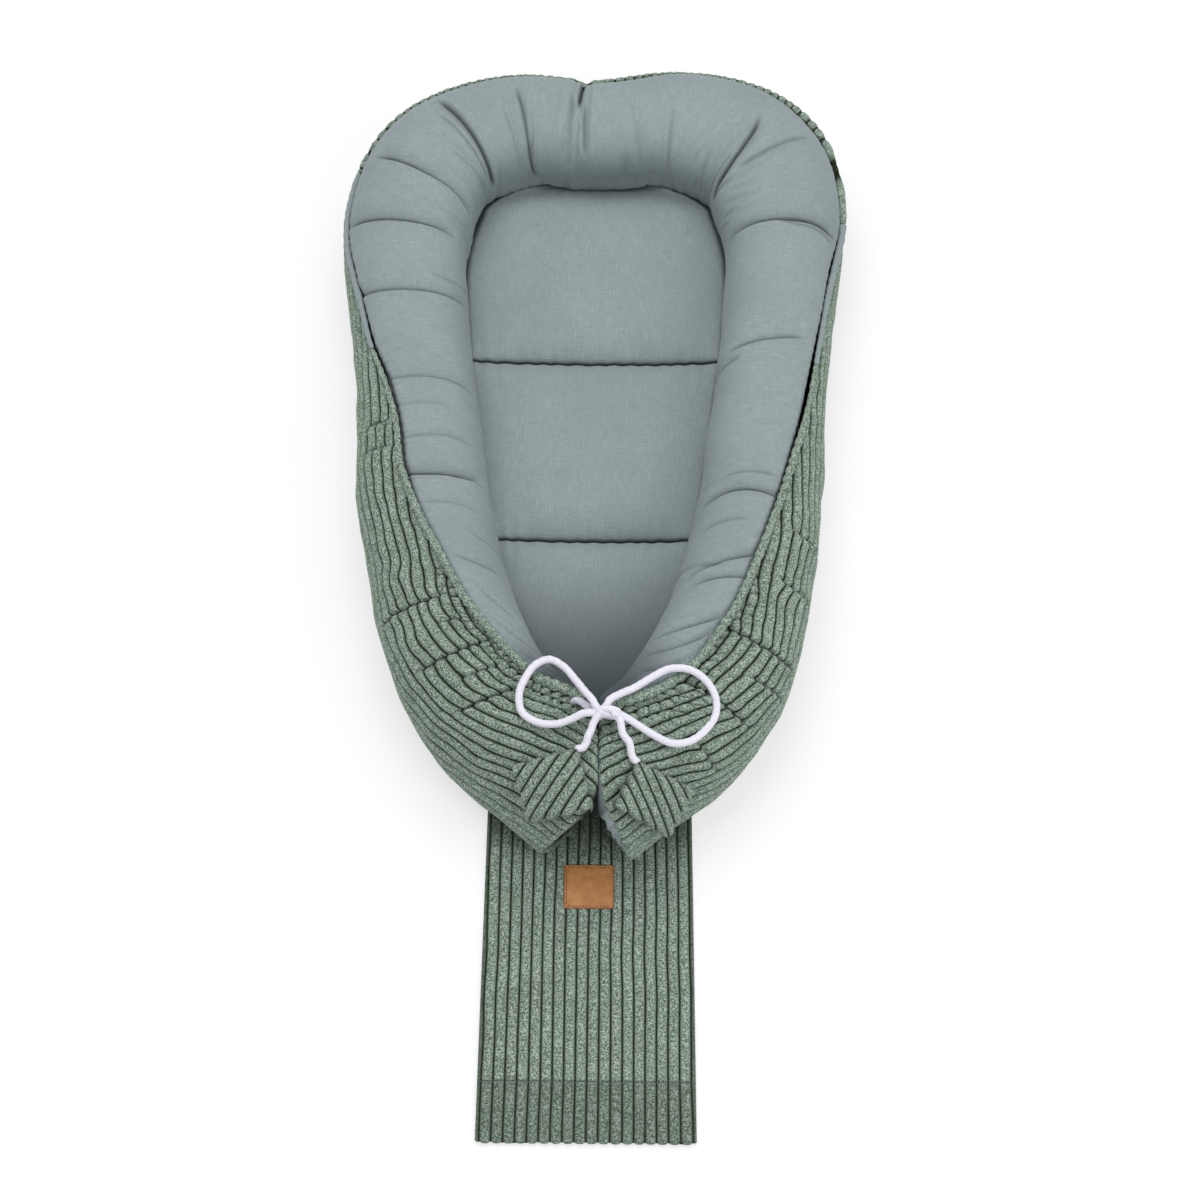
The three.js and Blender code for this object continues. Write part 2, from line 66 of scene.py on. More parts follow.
def addCamera():
    # the camera stands where the fit puts it, and is aimed at the middle of the photograph's frame
    tilt = math.radians(viewpoint["elevation"])
    ahead = turned((0, math.cos(tilt), -math.sin(tilt)), viewpoint["yaw"])
    above = turned((0, math.sin(tilt), math.cos(tilt)), viewpoint["yaw"])
    right = turned((1, 0, 0), viewpoint["yaw"])
    place = Vector(viewpoint["target"]) - ahead * viewpoint["distance"]
    middle = viewpoint["framePixels"] / 2
    across, down = (middle - pixel for pixel in viewpoint["targetPixel"])
    aim = (ahead * viewpoint["focalPixels"] + right * across - above * down).normalized()
    side = (right - aim * right.dot(aim)).normalized()
    data = bpy.data.cameras.new("camera")
    data.sensor_width = viewpoint["sensor"]
    data.lens = viewpoint["focalPixels"] / viewpoint["framePixels"] * viewpoint["sensor"]
    data.clip_start = viewpoint["near"]
    data.clip_end = viewpoint["far"]
    camera = bpy.data.objects.new("camera", data)
    basis = Matrix((side, side.cross(aim), -aim)).transposed()
    camera.matrix_world = Matrix.Translation(place) @ basis.to_4x4()
    bpy.context.scene.collection.objects.link(camera)
    bpy.context.scene.camera = camera


addCamera()


# Mesh and noise helpers

def stacked(*parts):
    # the parts, spread to one shape, side by side in a new last axis
    return np.stack(np.broadcast_arrays(*parts), axis=-1)


def gridMesh(name, points, inside, uv, ringed=False, depthAndPaintedShade=None):
    # points is rows by columns by 3; a ringed grid joins its last column to its first, has its poles and
    # edges merged, and its uv has one more column, for the seam; inside is a point, or one for each row,
    # that the faces look away from; depthAndPaintedShade, from 0 to 1, is painted shade: how far each point
    # is darkened toward its material's shade colour
    if ringed:
        points = np.concatenate([points, points[:, :1]], axis=1)
    rowStep = points[1:, :-1] - points[:-1, :-1]
    columnStep = points[:-1, 1:] - points[:-1, :-1]
    outward = (np.cross(rowStep, columnStep) * (points - inside)[:-1, :-1]).sum()
    rows, columns = points.shape[:2]
    width = columns - 1 if ringed else columns
    index = np.arange(rows * width).reshape(rows, width)
    place = np.arange(rows * columns).reshape(rows, columns)
    if ringed:
        index = np.hstack([index, index[:, :1]])
    order = 1 if outward > 0 else -1

    def corners(grid):
        quads = [grid[:-1, :-1], grid[1:, :-1], grid[1:, 1:], grid[:-1, 1:]]
        return np.stack(quads[::order], -1).reshape(-1, 4)

    quads = corners(index)
    mesh = bpy.data.meshes.new(name)
    mesh.vertices.add(rows * width)
    mesh.vertices.foreach_set("co", points[:, :width].reshape(-1).astype(np.float32))
    mesh.loops.add(quads.size)
    mesh.loops.foreach_set("vertex_index", quads.reshape(-1).astype(np.int32))
    mesh.polygons.add(len(quads))
    mesh.polygons.foreach_set("loop_start", np.arange(0, quads.size, 4, dtype=np.int32))
    mesh.polygons.foreach_set("use_smooth", np.ones(len(quads), dtype=bool))
    layer = mesh.uv_layers.new(name="UVMap")
    cornerPlaces = uv.reshape(-1, 2)[corners(place).reshape(-1)]
    layer.data.foreach_set("uv", cornerPlaces.reshape(-1).astype(np.float32))
    if depthAndPaintedShade is not None:
        # painted shade, kept as a point attribute that the materials read
        depth = mesh.attributes.new("depthAndPaintedShade", "FLOAT", "POINT")
        depth.data.foreach_set("value", depthAndPaintedShade[:, :width].reshape(-1).astype(np.float32))
    mesh.update(calc_edges=True)
    if ringed:
        work = bmesh.new()
        work.from_mesh(mesh)
        bmesh.ops.remove_doubles(work, verts=work.verts, dist=0.00002)
        bmesh.ops.dissolve_degenerate(work, edges=work.edges, dist=0.000001)
        bmesh.ops.holes_fill(work, edges=[edge for edge in work.edges if edge.is_boundary])
        work.to_mesh(mesh)
        work.free()
    mesh.validate()
    return mesh


def unit(vectors):
    return vectors / np.linalg.norm(vectors, axis=-1, keepdims=True)


def smoothPath(points, step):
    # a curve through the points in even steps: cubics whose slopes come from the neighbouring points
    points = np.array(points, float)
    at = np.append(0, np.cumsum(np.linalg.norm(np.diff(points, axis=0), axis=1)))
    slope = np.gradient(points, at, axis=0)
    fine = np.linspace(0, at[-1], int(at[-1] / step * 5))
    i = np.clip(np.searchsorted(at, fine, side="right") - 1, 0, len(at) - 2)
    width = (at[i + 1] - at[i])[:, None]
    f = (fine - at[i])[:, None] / width
    curve = ((2 * f**3 - 3 * f**2 + 1) * points[i] + (f**3 - 2 * f**2 + f) * width * slope[i]
             + (3 * f**2 - 2 * f**3) * points[i + 1] + (f**3 - f**2) * width * slope[i + 1])
    run = np.append(0, np.cumsum(np.linalg.norm(np.diff(curve, axis=0), axis=1)))
    even = np.linspace(0, run[-1], max(3, round(run[-1] / step) + 1))
    return np.column_stack([np.interp(even, run, curve[:, k]) for k in range(3)]), run[-1]


def tubeGrid(path, radius, sides, reference):
    # rings round a path, each of the radius given for the ring or for each of its points;
    # reference is a direction that the path never follows
    heading = unit(np.gradient(path, axis=0))
    side = unit(np.cross(heading, reference))
    top = np.cross(side, heading)
    angle = np.linspace(0, 2 * np.pi, sides, endpoint=False)
    ring = np.cos(angle)[None, :, None] * side[:, None] + np.sin(angle)[None, :, None] * top[:, None]
    return path[:, None] + np.broadcast_to(radius, (len(path), sides))[..., None] * ring


def tubeMesh(name, path, radius, sides, reference, run):
    # its UV map is turns round in U and the run along the path in V
    uv = stacked(np.linspace(0, 1, sides + 1), run[:, None])
    return gridMesh(name, tubeGrid(path, radius, sides, reference), path[:, None], uv, ringed=True)


def roundedEnds(path, radius):
    # 0 at the very ends of a path to 1 from one radius inside them, as a ball's outline
    run = np.append(0, np.cumsum(np.linalg.norm(np.diff(path, axis=0), axis=1)))
    near = np.clip(np.minimum(run, run[-1] - run) / radius, 0, 1)
    return run, np.sqrt(np.maximum(1 - (1 - near)**2, 0))


def addPiece(name, mesh, material, body):
    piece = bpy.data.objects.new(name, mesh)
    bpy.context.scene.collection.objects.link(piece)
    mesh.materials.append(material)
    if body:
        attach(piece, body)
    return piece


def tableAt(pairs, value):
    # straight lines between the pairs
    return np.interp(value, *np.array(pairs, float).T)


def smoothStep(low, high, value):
    t = np.clip((value - low) / (high - low), 0, 1)
    return t * t * (3 - 2 * t)


def squareReach(across, upward, power):
    # how far a rounded square's edge, where the powers of the two sizes add up to 1, lies in a direction
    return (np.abs(across)**power + np.abs(upward)**power)**(-1 / power)


def fromMiddle(phase):
    # 0 in the middle of each whole step of the phase, 1 at its ends
    return np.abs(2 * (phase - np.floor(phase)) - 1)


def hashed(i, j, seed):
    # a steady random number from 0 to 1 for each pair of whole numbers
    value = np.sin(i * 127.1 + j * 311.7 + seed * 74.7) * 43758.5453
    return value - np.floor(value)


def cloudy(x, y, seed):
    # value noise from -1 to 1: random numbers on a lattice, blended smoothly between its points
    i, j = np.floor(x), np.floor(y)
    u, v = x - i, y - j
    u, v = u * u * (3 - 2 * u), v * v * (3 - 2 * v)
    low = hashed(i, j, seed) * (1 - u) + hashed(i + 1, j, seed) * u
    high = hashed(i, j + 1, seed) * (1 - u) + hashed(i + 1, j + 1, seed) * u
    return 2 * (low * (1 - v) + high * v) - 1


# Material helpers

def newMaterial(name):
    material = bpy.data.materials.new(name)
    material.use_nodes = True
    tree = material.node_tree
    tree.nodes.clear()
    output = tree.nodes.new("ShaderNodeOutputMaterial")
    shader = tree.nodes.new("ShaderNodeBsdfPrincipled")
    tree.links.new(shader.outputs[0], output.inputs[0])
    return material, tree, shader


def plug(tree, node, sockets):
    # each socket gets a value, or a link from another node's socket
    for socket, value in sockets.items():
        if isinstance(value, bpy.types.NodeSocket):
            tree.links.new(value, node.inputs[socket])
        else:
            node.inputs[socket].default_value = value


def addNode(tree, kind, sockets=None, **settings):
    node = tree.nodes.new("ShaderNode" + kind)
    for key, value in settings.items():
        setattr(node, key, value)
    plug(tree, node, sockets or {})
    return node


def maths(tree, operation, a, b=0.0):
    return addNode(tree, "Math", {0: a, 1: b}, operation=operation).outputs[0]


def mapRange(tree, value, fromMin, fromMax, toMin, toMax):
    sockets = {"Value": value, "From Min": fromMin, "From Max": fromMax, "To Min": toMin, "To Max": toMax}
    return addNode(tree, "MapRange", sockets, interpolation_type="SMOOTHSTEP").outputs[0]


def mixColours(tree, factor, a, b):
    # a mix node set to colours has them in its inputs 6 and 7 and its output 2
    return addNode(tree, "Mix", {0: factor, 6: a, 7: b}, data_type="RGBA").outputs[2]


def toned(tree, value, low, high, most, a, b):
    # colour a, which goes over to b as the value goes from low to high, by the share most in the end
    return mixColours(tree, mapRange(tree, value, low, high, 0.0, most), a, b)


def noise(tree, vector, scale, detail=2.0, roughness=0.5):
    sockets = {"Vector": vector, "Scale": scale, "Detail": detail, "Roughness": roughness}
    return addNode(tree, "TexNoise", sockets).outputs[0]


def stretched(tree, vector, scale):
    return addNode(tree, "Mapping", {"Vector": vector, "Scale": scale}).outputs[0]


def finishShader(tree, shader, look, colour, height):
    # the look's own sockets, the colour, and a bump of the look's strength and distance from the height
    strength, distance = look["bump"]
    bump = addNode(tree, "Bump", {"Strength": strength, "Distance": distance, "Height": height}).outputs[0]
    plug(tree, shader, {**look["surface"], "Base Color": colour, "Normal": bump})


# Corduroy: broad ribs of fuzzy pile with dark grooves, partly the cloth's own darker ground and partly
# painted shade.
# Its UV map counts ribs across in U and the same lengths along them in V; the attribute depthAndPaintedShade
# is painted shade, which darkens the folds, seams, hems and undersides to the groove colour.
# grooveAndShade and flank: darker colours toward the grooves, partly the cloth's own ground and partly
# painted shade; grooveAndShade is also the colour that all painted shade on the corduroy takes
corduroyLook = {
    "pile": (0.202, 0.268, 0.218, 1), "worn": (0.152, 0.206, 0.164, 1), "tips": (0.52, 0.60, 0.53, 1),
    "shade": (0.050, 0.074, 0.048, 1), "flank": (0.085, 0.118, 0.082, 1), "grooveAndShade": (0.010, 0.014, 0.005, 1),
    "flankFrom": 0.62, "flankTo": 0.92, "grooveFrom": 0.81, "grooveTo": 0.93, "frayed": 0.38,
    "tuftScale": 640, "fibreScale": 1250, "patchScale": 38, "tuftShare": 0.62, "bump": (0.75, 0.0012),
    "surface": {"Roughness": 0.95, "Specular IOR Level": 0.15, "Sheen Weight": 0.22, "Sheen Roughness": 0.45,
                "Sheen Tint": (0.72, 0.80, 0.72, 1)},
}


def corduroyMaterial():
    material, tree, shader = newMaterial("corduroy")
    look = corduroyLook
    place = addNode(tree, "TexCoord")
    ribs = addNode(tree, "SeparateXYZ", {0: place.outputs["UV"]}).outputs[0]
    centred = maths(tree, "SUBTRACT", maths(tree, "FRACT", ribs), 0.5)
    edge = maths(tree, "MULTIPLY", maths(tree, "ABSOLUTE", centred), 2.0)
    objectPlace = place.outputs["Object"]
    tufts = noise(tree, objectPlace, look["tuftScale"], 1.5, 0.6)
    fibres = noise(tree, objectPlace, look["fibreScale"], 1.0, 0.5)
    patches = noise(tree, objectPlace, look["patchScale"], 3, 0.6)
    shares = [(tufts, look["tuftShare"]), (fibres, 1 - look["tuftShare"])]
    grain = maths(tree, "ADD", *(maths(tree, "MULTIPLY", part, share) for part, share in shares))
    fray = maths(tree, "MULTIPLY", maths(tree, "SUBTRACT", tufts, 0.5), look["frayed"])
    frayed = maths(tree, "ADD", edge, fray)
    # the grooves: partly the cloth's own darker ground, partly painted shade
    grooveAndShade = mapRange(tree, frayed, look["grooveFrom"], look["grooveTo"], 0.0, 1.0)
    depthAndPaintedShade = addNode(tree, "Attribute", attribute_name="depthAndPaintedShade").outputs["Fac"]
    worn = toned(tree, patches, 0.35, 0.68, 0.75, look["pile"], look["worn"])
    tipped = toned(tree, grain, 0.50, 0.60, 0.72, worn, look["tips"])
    pitted = toned(tree, grain, 0.49, 0.40, 0.85, tipped, look["shade"])
    # the ribs' sides: partly their own darker colour, partly painted shade
    flanked = toned(tree, frayed, look["flankFrom"], look["flankTo"], 0.80, pitted, look["flank"])
    # painted shade from the attribute depthAndPaintedShade, in the groove colour
    colour = mixColours(tree, maths(tree, "MAXIMUM", grooveAndShade, depthAndPaintedShade), flanked, look["grooveAndShade"])
    fuzz = maths(tree, "ADD", grain, maths(tree, "MULTIPLY", grooveAndShade, -0.8))
    finishShader(tree, shader, look, colour, fuzz)
    return material


# Cotton: plain weave with slubs that run up the cloth. Its UV map is in metres; the attribute
# depthAndPaintedShade is painted shade, which darkens the creases, seams, the bed's foot and other places
# where shade falls.
# creasesAndShade is the colour that painted shade on the cotton takes
cottonLook = {
    "colour": (0.250, 0.297, 0.306, 1), "pale": (0.318, 0.366, 0.372, 1), "dull": (0.196, 0.240, 0.250, 1),
    "creasesAndShade": (0.022, 0.030, 0.036, 1), "thread": 2600.0, "bump": (0.20, 0.0004),
    "surface": {"Roughness": 0.88, "Specular IOR Level": 0.22, "Sheen Weight": 0.12, "Sheen Roughness": 0.4,
                "Sheen Tint": (0.75, 0.80, 0.82, 1)},
}


def cottonMaterial():
    material, tree, shader = newMaterial("cotton")
    look = cottonLook
    place = addNode(tree, "TexCoord")
    cloth = place.outputs["UV"]
    slubs = noise(tree, stretched(tree, cloth, (980, 60, 1)), 1.0, 2, 0.6)
    cross = noise(tree, stretched(tree, cloth, (90, 900, 1)), 1.0, 2, 0.6)
    patches = noise(tree, place.outputs["Object"], 14, 3, 0.55)
    depthAndPaintedShade = addNode(tree, "Attribute", attribute_name="depthAndPaintedShade").outputs["Fac"]
    paled = toned(tree, slubs, 0.46, 0.66, 0.65, look["colour"], look["pale"])
    dulled = toned(tree, cross, 0.48, 0.66, 0.55, paled, look["dull"])
    patched = toned(tree, patches, 0.35, 0.7, 0.30, dulled, look["dull"])
    # painted shade from the attribute depthAndPaintedShade, toward creasesAndShade
    colour = mixColours(tree, depthAndPaintedShade, patched, look["creasesAndShade"])
    wave = {"Vector": cloth, "Scale": look["thread"] / 20, "Distortion": 0.6, "Detail": 1.0}
    threads = [addNode(tree, "TexWave", wave, bands_direction=way).outputs[1] for way in ("X", "Y")]
    weave = maths(tree, "ADD", maths(tree, "ADD", *threads), maths(tree, "MULTIPLY", slubs, 1.6))
    finishShader(tree, shader, look, colour, weave)
    return material


# Cord: white cotton, laid in strands. Its UV map is turns round in U and metres along in V.
cordLook = {
    "dull": (0.66, 0.64, 0.74, 1), "white": (0.86, 0.85, 0.93, 1), "bump": (0.5, 0.0006),
    "surface": {"Roughness": 0.85, "Specular IOR Level": 0.25, "Sheen Weight": 0.25, "Sheen Roughness": 0.4,
                "Sheen Tint": (1, 1, 1, 1)},
}


def cordMaterial():
    material, tree, shader = newMaterial("cordCotton")
    place = addNode(tree, "TexCoord")
    fibres = noise(tree, stretched(tree, place.outputs["UV"], (26, 900, 1)), 1.0, 3, 0.6)
    fuzz = noise(tree, place.outputs["Object"], 1500, 2)
    colour = toned(tree, fibres, 0.35, 0.65, 1.0, cordLook["dull"], cordLook["white"])
    height = maths(tree, "ADD", fibres, maths(tree, "MULTIPLY", fuzz, 0.5))
    finishShader(tree, shader, cordLook, colour, height)
    return material


# Leather: tan, darker at its cut edges. Its UV map runs from 0 to 1 over the patch.
leatherLook = {
    "tan": (0.50, 0.235, 0.085, 1), "brown": (0.40, 0.165, 0.052, 1), "edge": (0.085, 0.030, 0.012, 1),
    "bump": (0.25, 0.0003), "surface": {"Specular IOR Level": 0.4},
}


def leatherMaterial():
    material, tree, shader = newMaterial("leather")
    look = leatherLook
    place = addNode(tree, "TexCoord")
    split = addNode(tree, "SeparateXYZ", {0: place.outputs["UV"]})
    rims = [maths(tree, "ABSOLUTE", maths(tree, "SUBTRACT", split.outputs[k], 0.5)) for k in (0, 1)]
    border = mapRange(tree, maths(tree, "MAXIMUM", *rims), 0.455, 0.497, 0.0, 1.0)
    grain = addNode(tree, "TexVoronoi", {"Vector": place.outputs["Object"], "Scale": 900.0}).outputs[0]
    patches = noise(tree, place.outputs["Object"], 90, 4, 0.6)
    patched = toned(tree, patches, 0.3, 0.7, 1.0, look["tan"], look["brown"])
    colour = mixColours(tree, maths(tree, "MULTIPLY", border, 0.8), patched, look["edge"])
    finishShader(tree, shader, look, colour, maths(tree, "ADD", grain, patches))
    plug(tree, shader, {"Roughness": mapRange(tree, patches, 0.3, 0.7, 0.42, 0.56)})
    return material


threadLook = {"shade": 0.55, "bump": (0.4, 0.0002), "surface": {"Roughness": 0.8}}


def threadMaterial(name, colour):
    material, tree, shader = newMaterial(name)
    fibres = noise(tree, addNode(tree, "TexCoord").outputs["Object"], 2600, 2)
    shade = (*(part * threadLook["shade"] for part in colour[:3]), 1)
    finishShader(tree, shader, threadLook, toned(tree, fibres, 0.3, 0.7, 0.5, colour, shade), fibres)
    return material


corduroy = corduroyMaterial()
cotton = cottonMaterial()
cordCotton = cordMaterial()
leather = leatherMaterial()
cottonThread = threadMaterial("cottonThread", (0.17, 0.21, 0.215, 1))
leatherThread = threadMaterial("leatherThread", (0.10, 0.045, 0.02, 1))
print("materials made")


# Cords

# Routes in metres. Each side's cord comes out of the channel, goes through the knot into the other side's
# loop, and back through the knot to its own tab. The points are those of the CAD's solids, but the right
# tail leaves the knot further right, and the last point of each tail lies in the corner of its tab.
cords = {
    "diameter": 0.008, "slack": 0.90, "step": 0.0016, "sides": 20, "strands": 3, "layLength": 0.021,
    "strandDepth": 0.045, "roughness": 0.02, "reference": (0.02, 0.01, 1),
    "clearance": 0.0003, "knotPlace": (0.010, -0.318, 0.136), "knotHalfSize": (0.011, 0.009, 0.007),
    "leadLeft": [(-0.0170, -0.2958, 0.1105), (-0.0122, -0.2965, 0.1192), (-0.005, -0.302, 0.121)],
    "leadRight": [(0.0117, -0.3133, 0.1225), (0.006, -0.317, 0.1242)],
    "loopLeft": [(-0.004, -0.297, 0.135), (-0.014, -0.281, 0.130), (-0.025, -0.267, 0.129),
                 (-0.037, -0.262, 0.133), (-0.049, -0.268, 0.136), (-0.059, -0.282, 0.136),
                 (-0.065, -0.299, 0.132), (-0.062, -0.314, 0.128), (-0.050, -0.323, 0.127),
                 (-0.031, -0.326, 0.128), (-0.015, -0.322, 0.132)],
    "loopRight": [(0.027, -0.299, 0.136), (0.040, -0.291, 0.133), (0.056, -0.281, 0.135),
                  (0.072, -0.273, 0.137), (0.091, -0.273, 0.136), (0.106, -0.281, 0.130),
                  (0.115, -0.294, 0.122), (0.115, -0.309, 0.116), (0.106, -0.323, 0.113),
                  (0.091, -0.335, 0.113), (0.075, -0.339, 0.117), (0.060, -0.335, 0.123),
                  (0.046, -0.328, 0.128), (0.033, -0.321, 0.132)],
    "tailLeft": [(0.001, -0.334, 0.130), (-0.001, -0.338, 0.1295), (-0.0037, -0.3452, 0.1254),
                 (-0.0063, -0.3484, 0.1245), (-0.0092, -0.3492, 0.1250), (-0.0130, -0.3522, 0.1264)],
    "tailRight": [(0.031, -0.337, 0.128), (0.036, -0.343, 0.126), (0.0386, -0.3531, 0.1199),
                  (0.0404, -0.3560, 0.1178), (0.0458, -0.3602, 0.1178)],
    # two places along each tail, near the tab that hangs from it
    "bendLeft": [(-0.0030, -0.3440, 0.1260), (-0.0085, -0.3492, 0.1250)],
    "bendRight": [(0.0375, -0.3490, 0.1225), (0.0402, -0.3555, 0.1182)],
}


def knotPort(*shares):
    # where a stretch meets the knot: two points square to the knot's surface
    half = np.array(cords["knotHalfSize"])
    toward = unit(np.array(shares))
    away = unit(toward / half)
    seat = toward * half + cords["knotPlace"]
    return [tuple(seat + away * reach) for reach in (cords["clearance"], cords["diameter"] / 2)]


def throughKnot(*offset):
    return [tuple(np.array(cords["knotPlace"]) + offset)]


def makeCord(name, points, nodes):
    # a tube whose radius swells along three strands that wind round it
    path, length = smoothPath(points, cords["step"])
    radius = cords["diameter"] * cords["slack"] / 2
    run, ends = roundedEnds(path, radius)
    angle = np.linspace(0, 2 * np.pi, cords["sides"], endpoint=False)
    lay = cords["strands"] * angle[None] - 2 * np.pi * cords["strands"] * run[:, None] / cords["layLength"]
    rough = cords["roughness"] * cloudy(run[:, None] * 700, angle[None] * 2, 21)
    swell = 1 - cords["strandDepth"] * (1 - np.abs(np.cos(lay / 2))) * 2 + rough
    mesh = tubeMesh(name, path, radius * ends[:, None] * swell, cords["sides"], cords["reference"], run)
    piece = addPiece(name, mesh, cordCotton, None)
    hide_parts(*nodes)
    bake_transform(piece)
    print(name, "length:", round(float(length), 3))


# The knot's wraps: the cord wound flat round the crossing, its bands nearly level, its ends tucked in
knot = {
    "turns": 1.55, "startTurn": 0.64, "advance": 0.0052, "half": (0.0088, 0.0050), "narrowed": 0.25,
    "radius": 0.0033, "slant": -9.0, "offset": (0.0068, 0.0004, 0.0006), "rings": 70, "sides": 18,
}


def makeKnot():
    # a flattened helix: across and up go round an oval while it moves along, turned a little about Z
    turn = np.linspace(0, 1, knot["rings"])
    angle = 2 * np.pi * (knot["startTurn"] + knot["turns"] * turn)
    wide, tall = knot["half"]
    bulge = 1 - knot["narrowed"] * (2 * turn - 1)**4
    path = np.column_stack([wide * np.cos(angle) * bulge, knot["advance"] * (0.5 - turn),
                            tall * np.sin(angle) * bulge])
    slant = math.radians(knot["slant"])
    along, aside = math.sin(slant), math.cos(slant)
    path = path @ np.array([[aside, along, 0], [-along, aside, 0], [0, 0, 1]])
    path = path + np.array(cords["knotPlace"]) + knot["offset"]
    run, ends = roundedEnds(path, knot["radius"])
    radius = (knot["radius"] * ends)[:, None]
    mesh = tubeMesh("bowKnot", path, radius, knot["sides"], (along, aside, 0.01), run)
    piece = addPiece("bowKnot", mesh, cordCotton, "nest")
    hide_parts("bow_knot")
    return piece


# Rim: the same centre line and section as the CAD solid's, in metres

rim = {
    "halfSpan": 0.190, "headReach": 0.389, "legReach": 0.359, "halfWidth": 0.060, "halfHeight": 0.060,
    "flat": 0.0015, "legLift": 0.0055, "lean": 0.024, "sectionPower": 2.3, "length": 1.8691,
    "tuckDepth": 0.009, "tuckShare": 0.4895, "tuckHalfShare": 0.0070, "partingGap": 0.0004,
    "partingPlane": 0.008, "partingRound": 0.0055, "roundFrom": 0.05, "roundTo": 0.09, "leastGap": 0.00004,
    "leastLevel": 0.0004, "leastParting": 0.0003,
    "coverAngle": -93.0, "bedAngle": 205.0, "liningAngle": 267.0,
    # shares where the stuffing stands out or gives, and by how much; the angle where most, and its spread
    "swell": [(0, -0.001), (0.02, -0.0038), (0.045, 0.0026), (0.06, 0.0070), (0.08, 0.0093), (0.10, 0.0088),
              (0.13, 0.0070), (0.16, 0.0060), (0.175, 0.0088), (0.20, 0.0108), (0.22, 0.007), (0.26, 0.003),
              (0.29, 0), (0.33, 0.0015), (0.37, 0.001), (0.40, 0.0005), (0.44, 0.0005), (0.47, -0.001),
              (0.50, 0), (0.53, 0.002), (0.56, 0.0065), (0.59, 0.0095), (0.62, 0.006), (0.645, -0.001),
              (0.67, -0.0085), (0.70, -0.0075), (0.74, -0.0035), (0.77, -0.001), (0.80, 0.0015),
              (0.82, 0.004), (0.87, 0.0062), (0.89, 0.0100), (0.914, 0.0142), (0.94, 0.0134), (0.97, 0.0030),
              (0.985, 0), (1, 0)],
    "swellAngle": 12.0, "swellSpread": 50.0,
    "innerSwell": [(0, 0), (0.16, -0.002), (0.195, -0.007), (0.225, -0.003), (0.255, -0.006),
                   (0.30, -0.0055), (0.34, -0.001), (0.38, 0), (0.43, -0.009), (0.465, -0.0155),
                   (0.50, -0.0205), (0.535, -0.0155), (0.57, -0.009), (0.62, 0), (0.66, -0.001),
                   (0.70, -0.0055), (0.75, -0.007), (0.80, -0.006), (0.84, -0.002), (1, 0)],
    "innerAngle": 192.0, "innerSpread": 42.0,
    # degrees that the seam turns inward, by share
    "seamTurn": [(0, 9), (0.02, 8), (0.035, 1), (0.05, -3), (0.07, -1), (0.17, 0), (0.20, 5), (0.225, 16),
                 (0.25, 17), (0.275, 10), (0.30, 7), (0.34, 3), (0.38, 0), (0.66, 0), (0.69, 6), (0.73, 7),
                 (0.77, 3), (0.81, 0), (0.91, 0), (0.93, -3), (0.95, 1), (0.97, 6), (1, 9)],
    # across, along, width, height, lift, lean as shares; the seam's angle and the right leg's turn of it
    "shares": [
        (0, 0.990, 1, 0.983, 0, 0, 30, 0), (0.453, 1, 1.033, 1, 0, 0, 27, 0),
        (0.847, 0.905, 1.067, 1, 0, 0, 24, 0), (1, 0.689, 1.05, 1, 0, 0, 20, 0),
        (0.963, 0.424, 1, 1, 0, 0, 30, 0), (0.895, 0.154, 1, 1, 0, 0, 42, 0),
        (0.837, -0.111, 1.017, 1, 0, 0, 62, 0), (0.763, -0.362, 1.033, 1, 0.18, 0, 81, 5),
        (0.637, -0.599, 1.05, 1, 0.73, 0.083, 93, 9), (0.411, -0.827, 1, 1, 1, 0.583, 101, 11),
        (0.063, -1, 0.9, 0.95, 1, 1, 115, 6),
    ],
}


def rimTable():
    half = np.array(rim["shares"])
    table = np.vstack([half[:0:-1] * (-1, 1, 1, 1, 1, 1, 1, -1), half])
    reach = np.where(table[:, 1] > 0, rim["headReach"], rim["legReach"])
    sizes = [rim["halfSpan"], reach, rim["halfWidth"], rim["halfHeight"], rim["legLift"], rim["lean"]]
    columns = [table[:, k] * size for k, size in enumerate(sizes)]
    return np.column_stack([*columns, table[:, 6] - table[:, 7]])


rimStations = rimTable()
rimMiddle = 0.5
fineShares = np.linspace(0, 1, 801)


def smoothTable(pairs):
    # the table's straight lines, rounded at their corners by a running mean of 27 shares
    kernel = np.hanning(27)
    padded = np.pad(tableAt(pairs, fineShares), len(kernel) // 2, mode="edge")
    return np.convolve(padded, kernel / kernel.sum(), mode="valid")


outerSwell, innerSwell, seamTurn = (smoothTable(rim[name]) for name in ("swell", "innerSwell", "seamTurn"))


def isLeg(share):
    return np.abs(share - rimMiddle) > 0.25


def turnAway(angle, other):
    # degrees from one angle to another, from -180 to 180
    return (angle - other + 180) % 360 - 180


def bell(distance):
    return np.exp(-distance**2)


def swelling(share, angle):
    # how far the stuffing stands out: bell curves round the rim about its outermost and innermost lines
    outer = bell(turnAway(angle, rim["swellAngle"]) / rim["swellSpread"])
    inner = bell(turnAway(angle, rim["innerAngle"]) / rim["innerSpread"])
    most, innerMost = (np.interp(share, fineShares, amounts) for amounts in (outerSwell, innerSwell))
    return most * outer + innerMost * inner


def rimAt(share):
    # a smooth cubic through the stations: values at a share of the rim's length, and the way it heads
    last = len(rimStations) - 1
    before, after = 2 * rimStations[0] - rimStations[1], 2 * rimStations[-1] - rimStations[-2]
    padded = np.vstack([before, rimStations, after])
    at = np.clip(share, 0, 1) * last
    i = np.minimum(at.astype(int), last - 1)
    f = (at - i)[..., None]
    a, b, c, d = (padded[i + k] for k in range(4))
    square, cube = 2 * a - 5 * b + 4 * c - d, 3 * b - 3 * c + d - a
    value = 0.5 * (2 * b + (c - a) * f + square * f**2 + cube * f**3)
    slope = 0.5 * ((c - a) + 2 * square * f + 3 * cube * f**2)[..., :2]
    return value, unit(slope)


def seamAngle(share):
    return rimAt(share)[0][..., 6] + np.interp(share, fineShares, seamTurn)


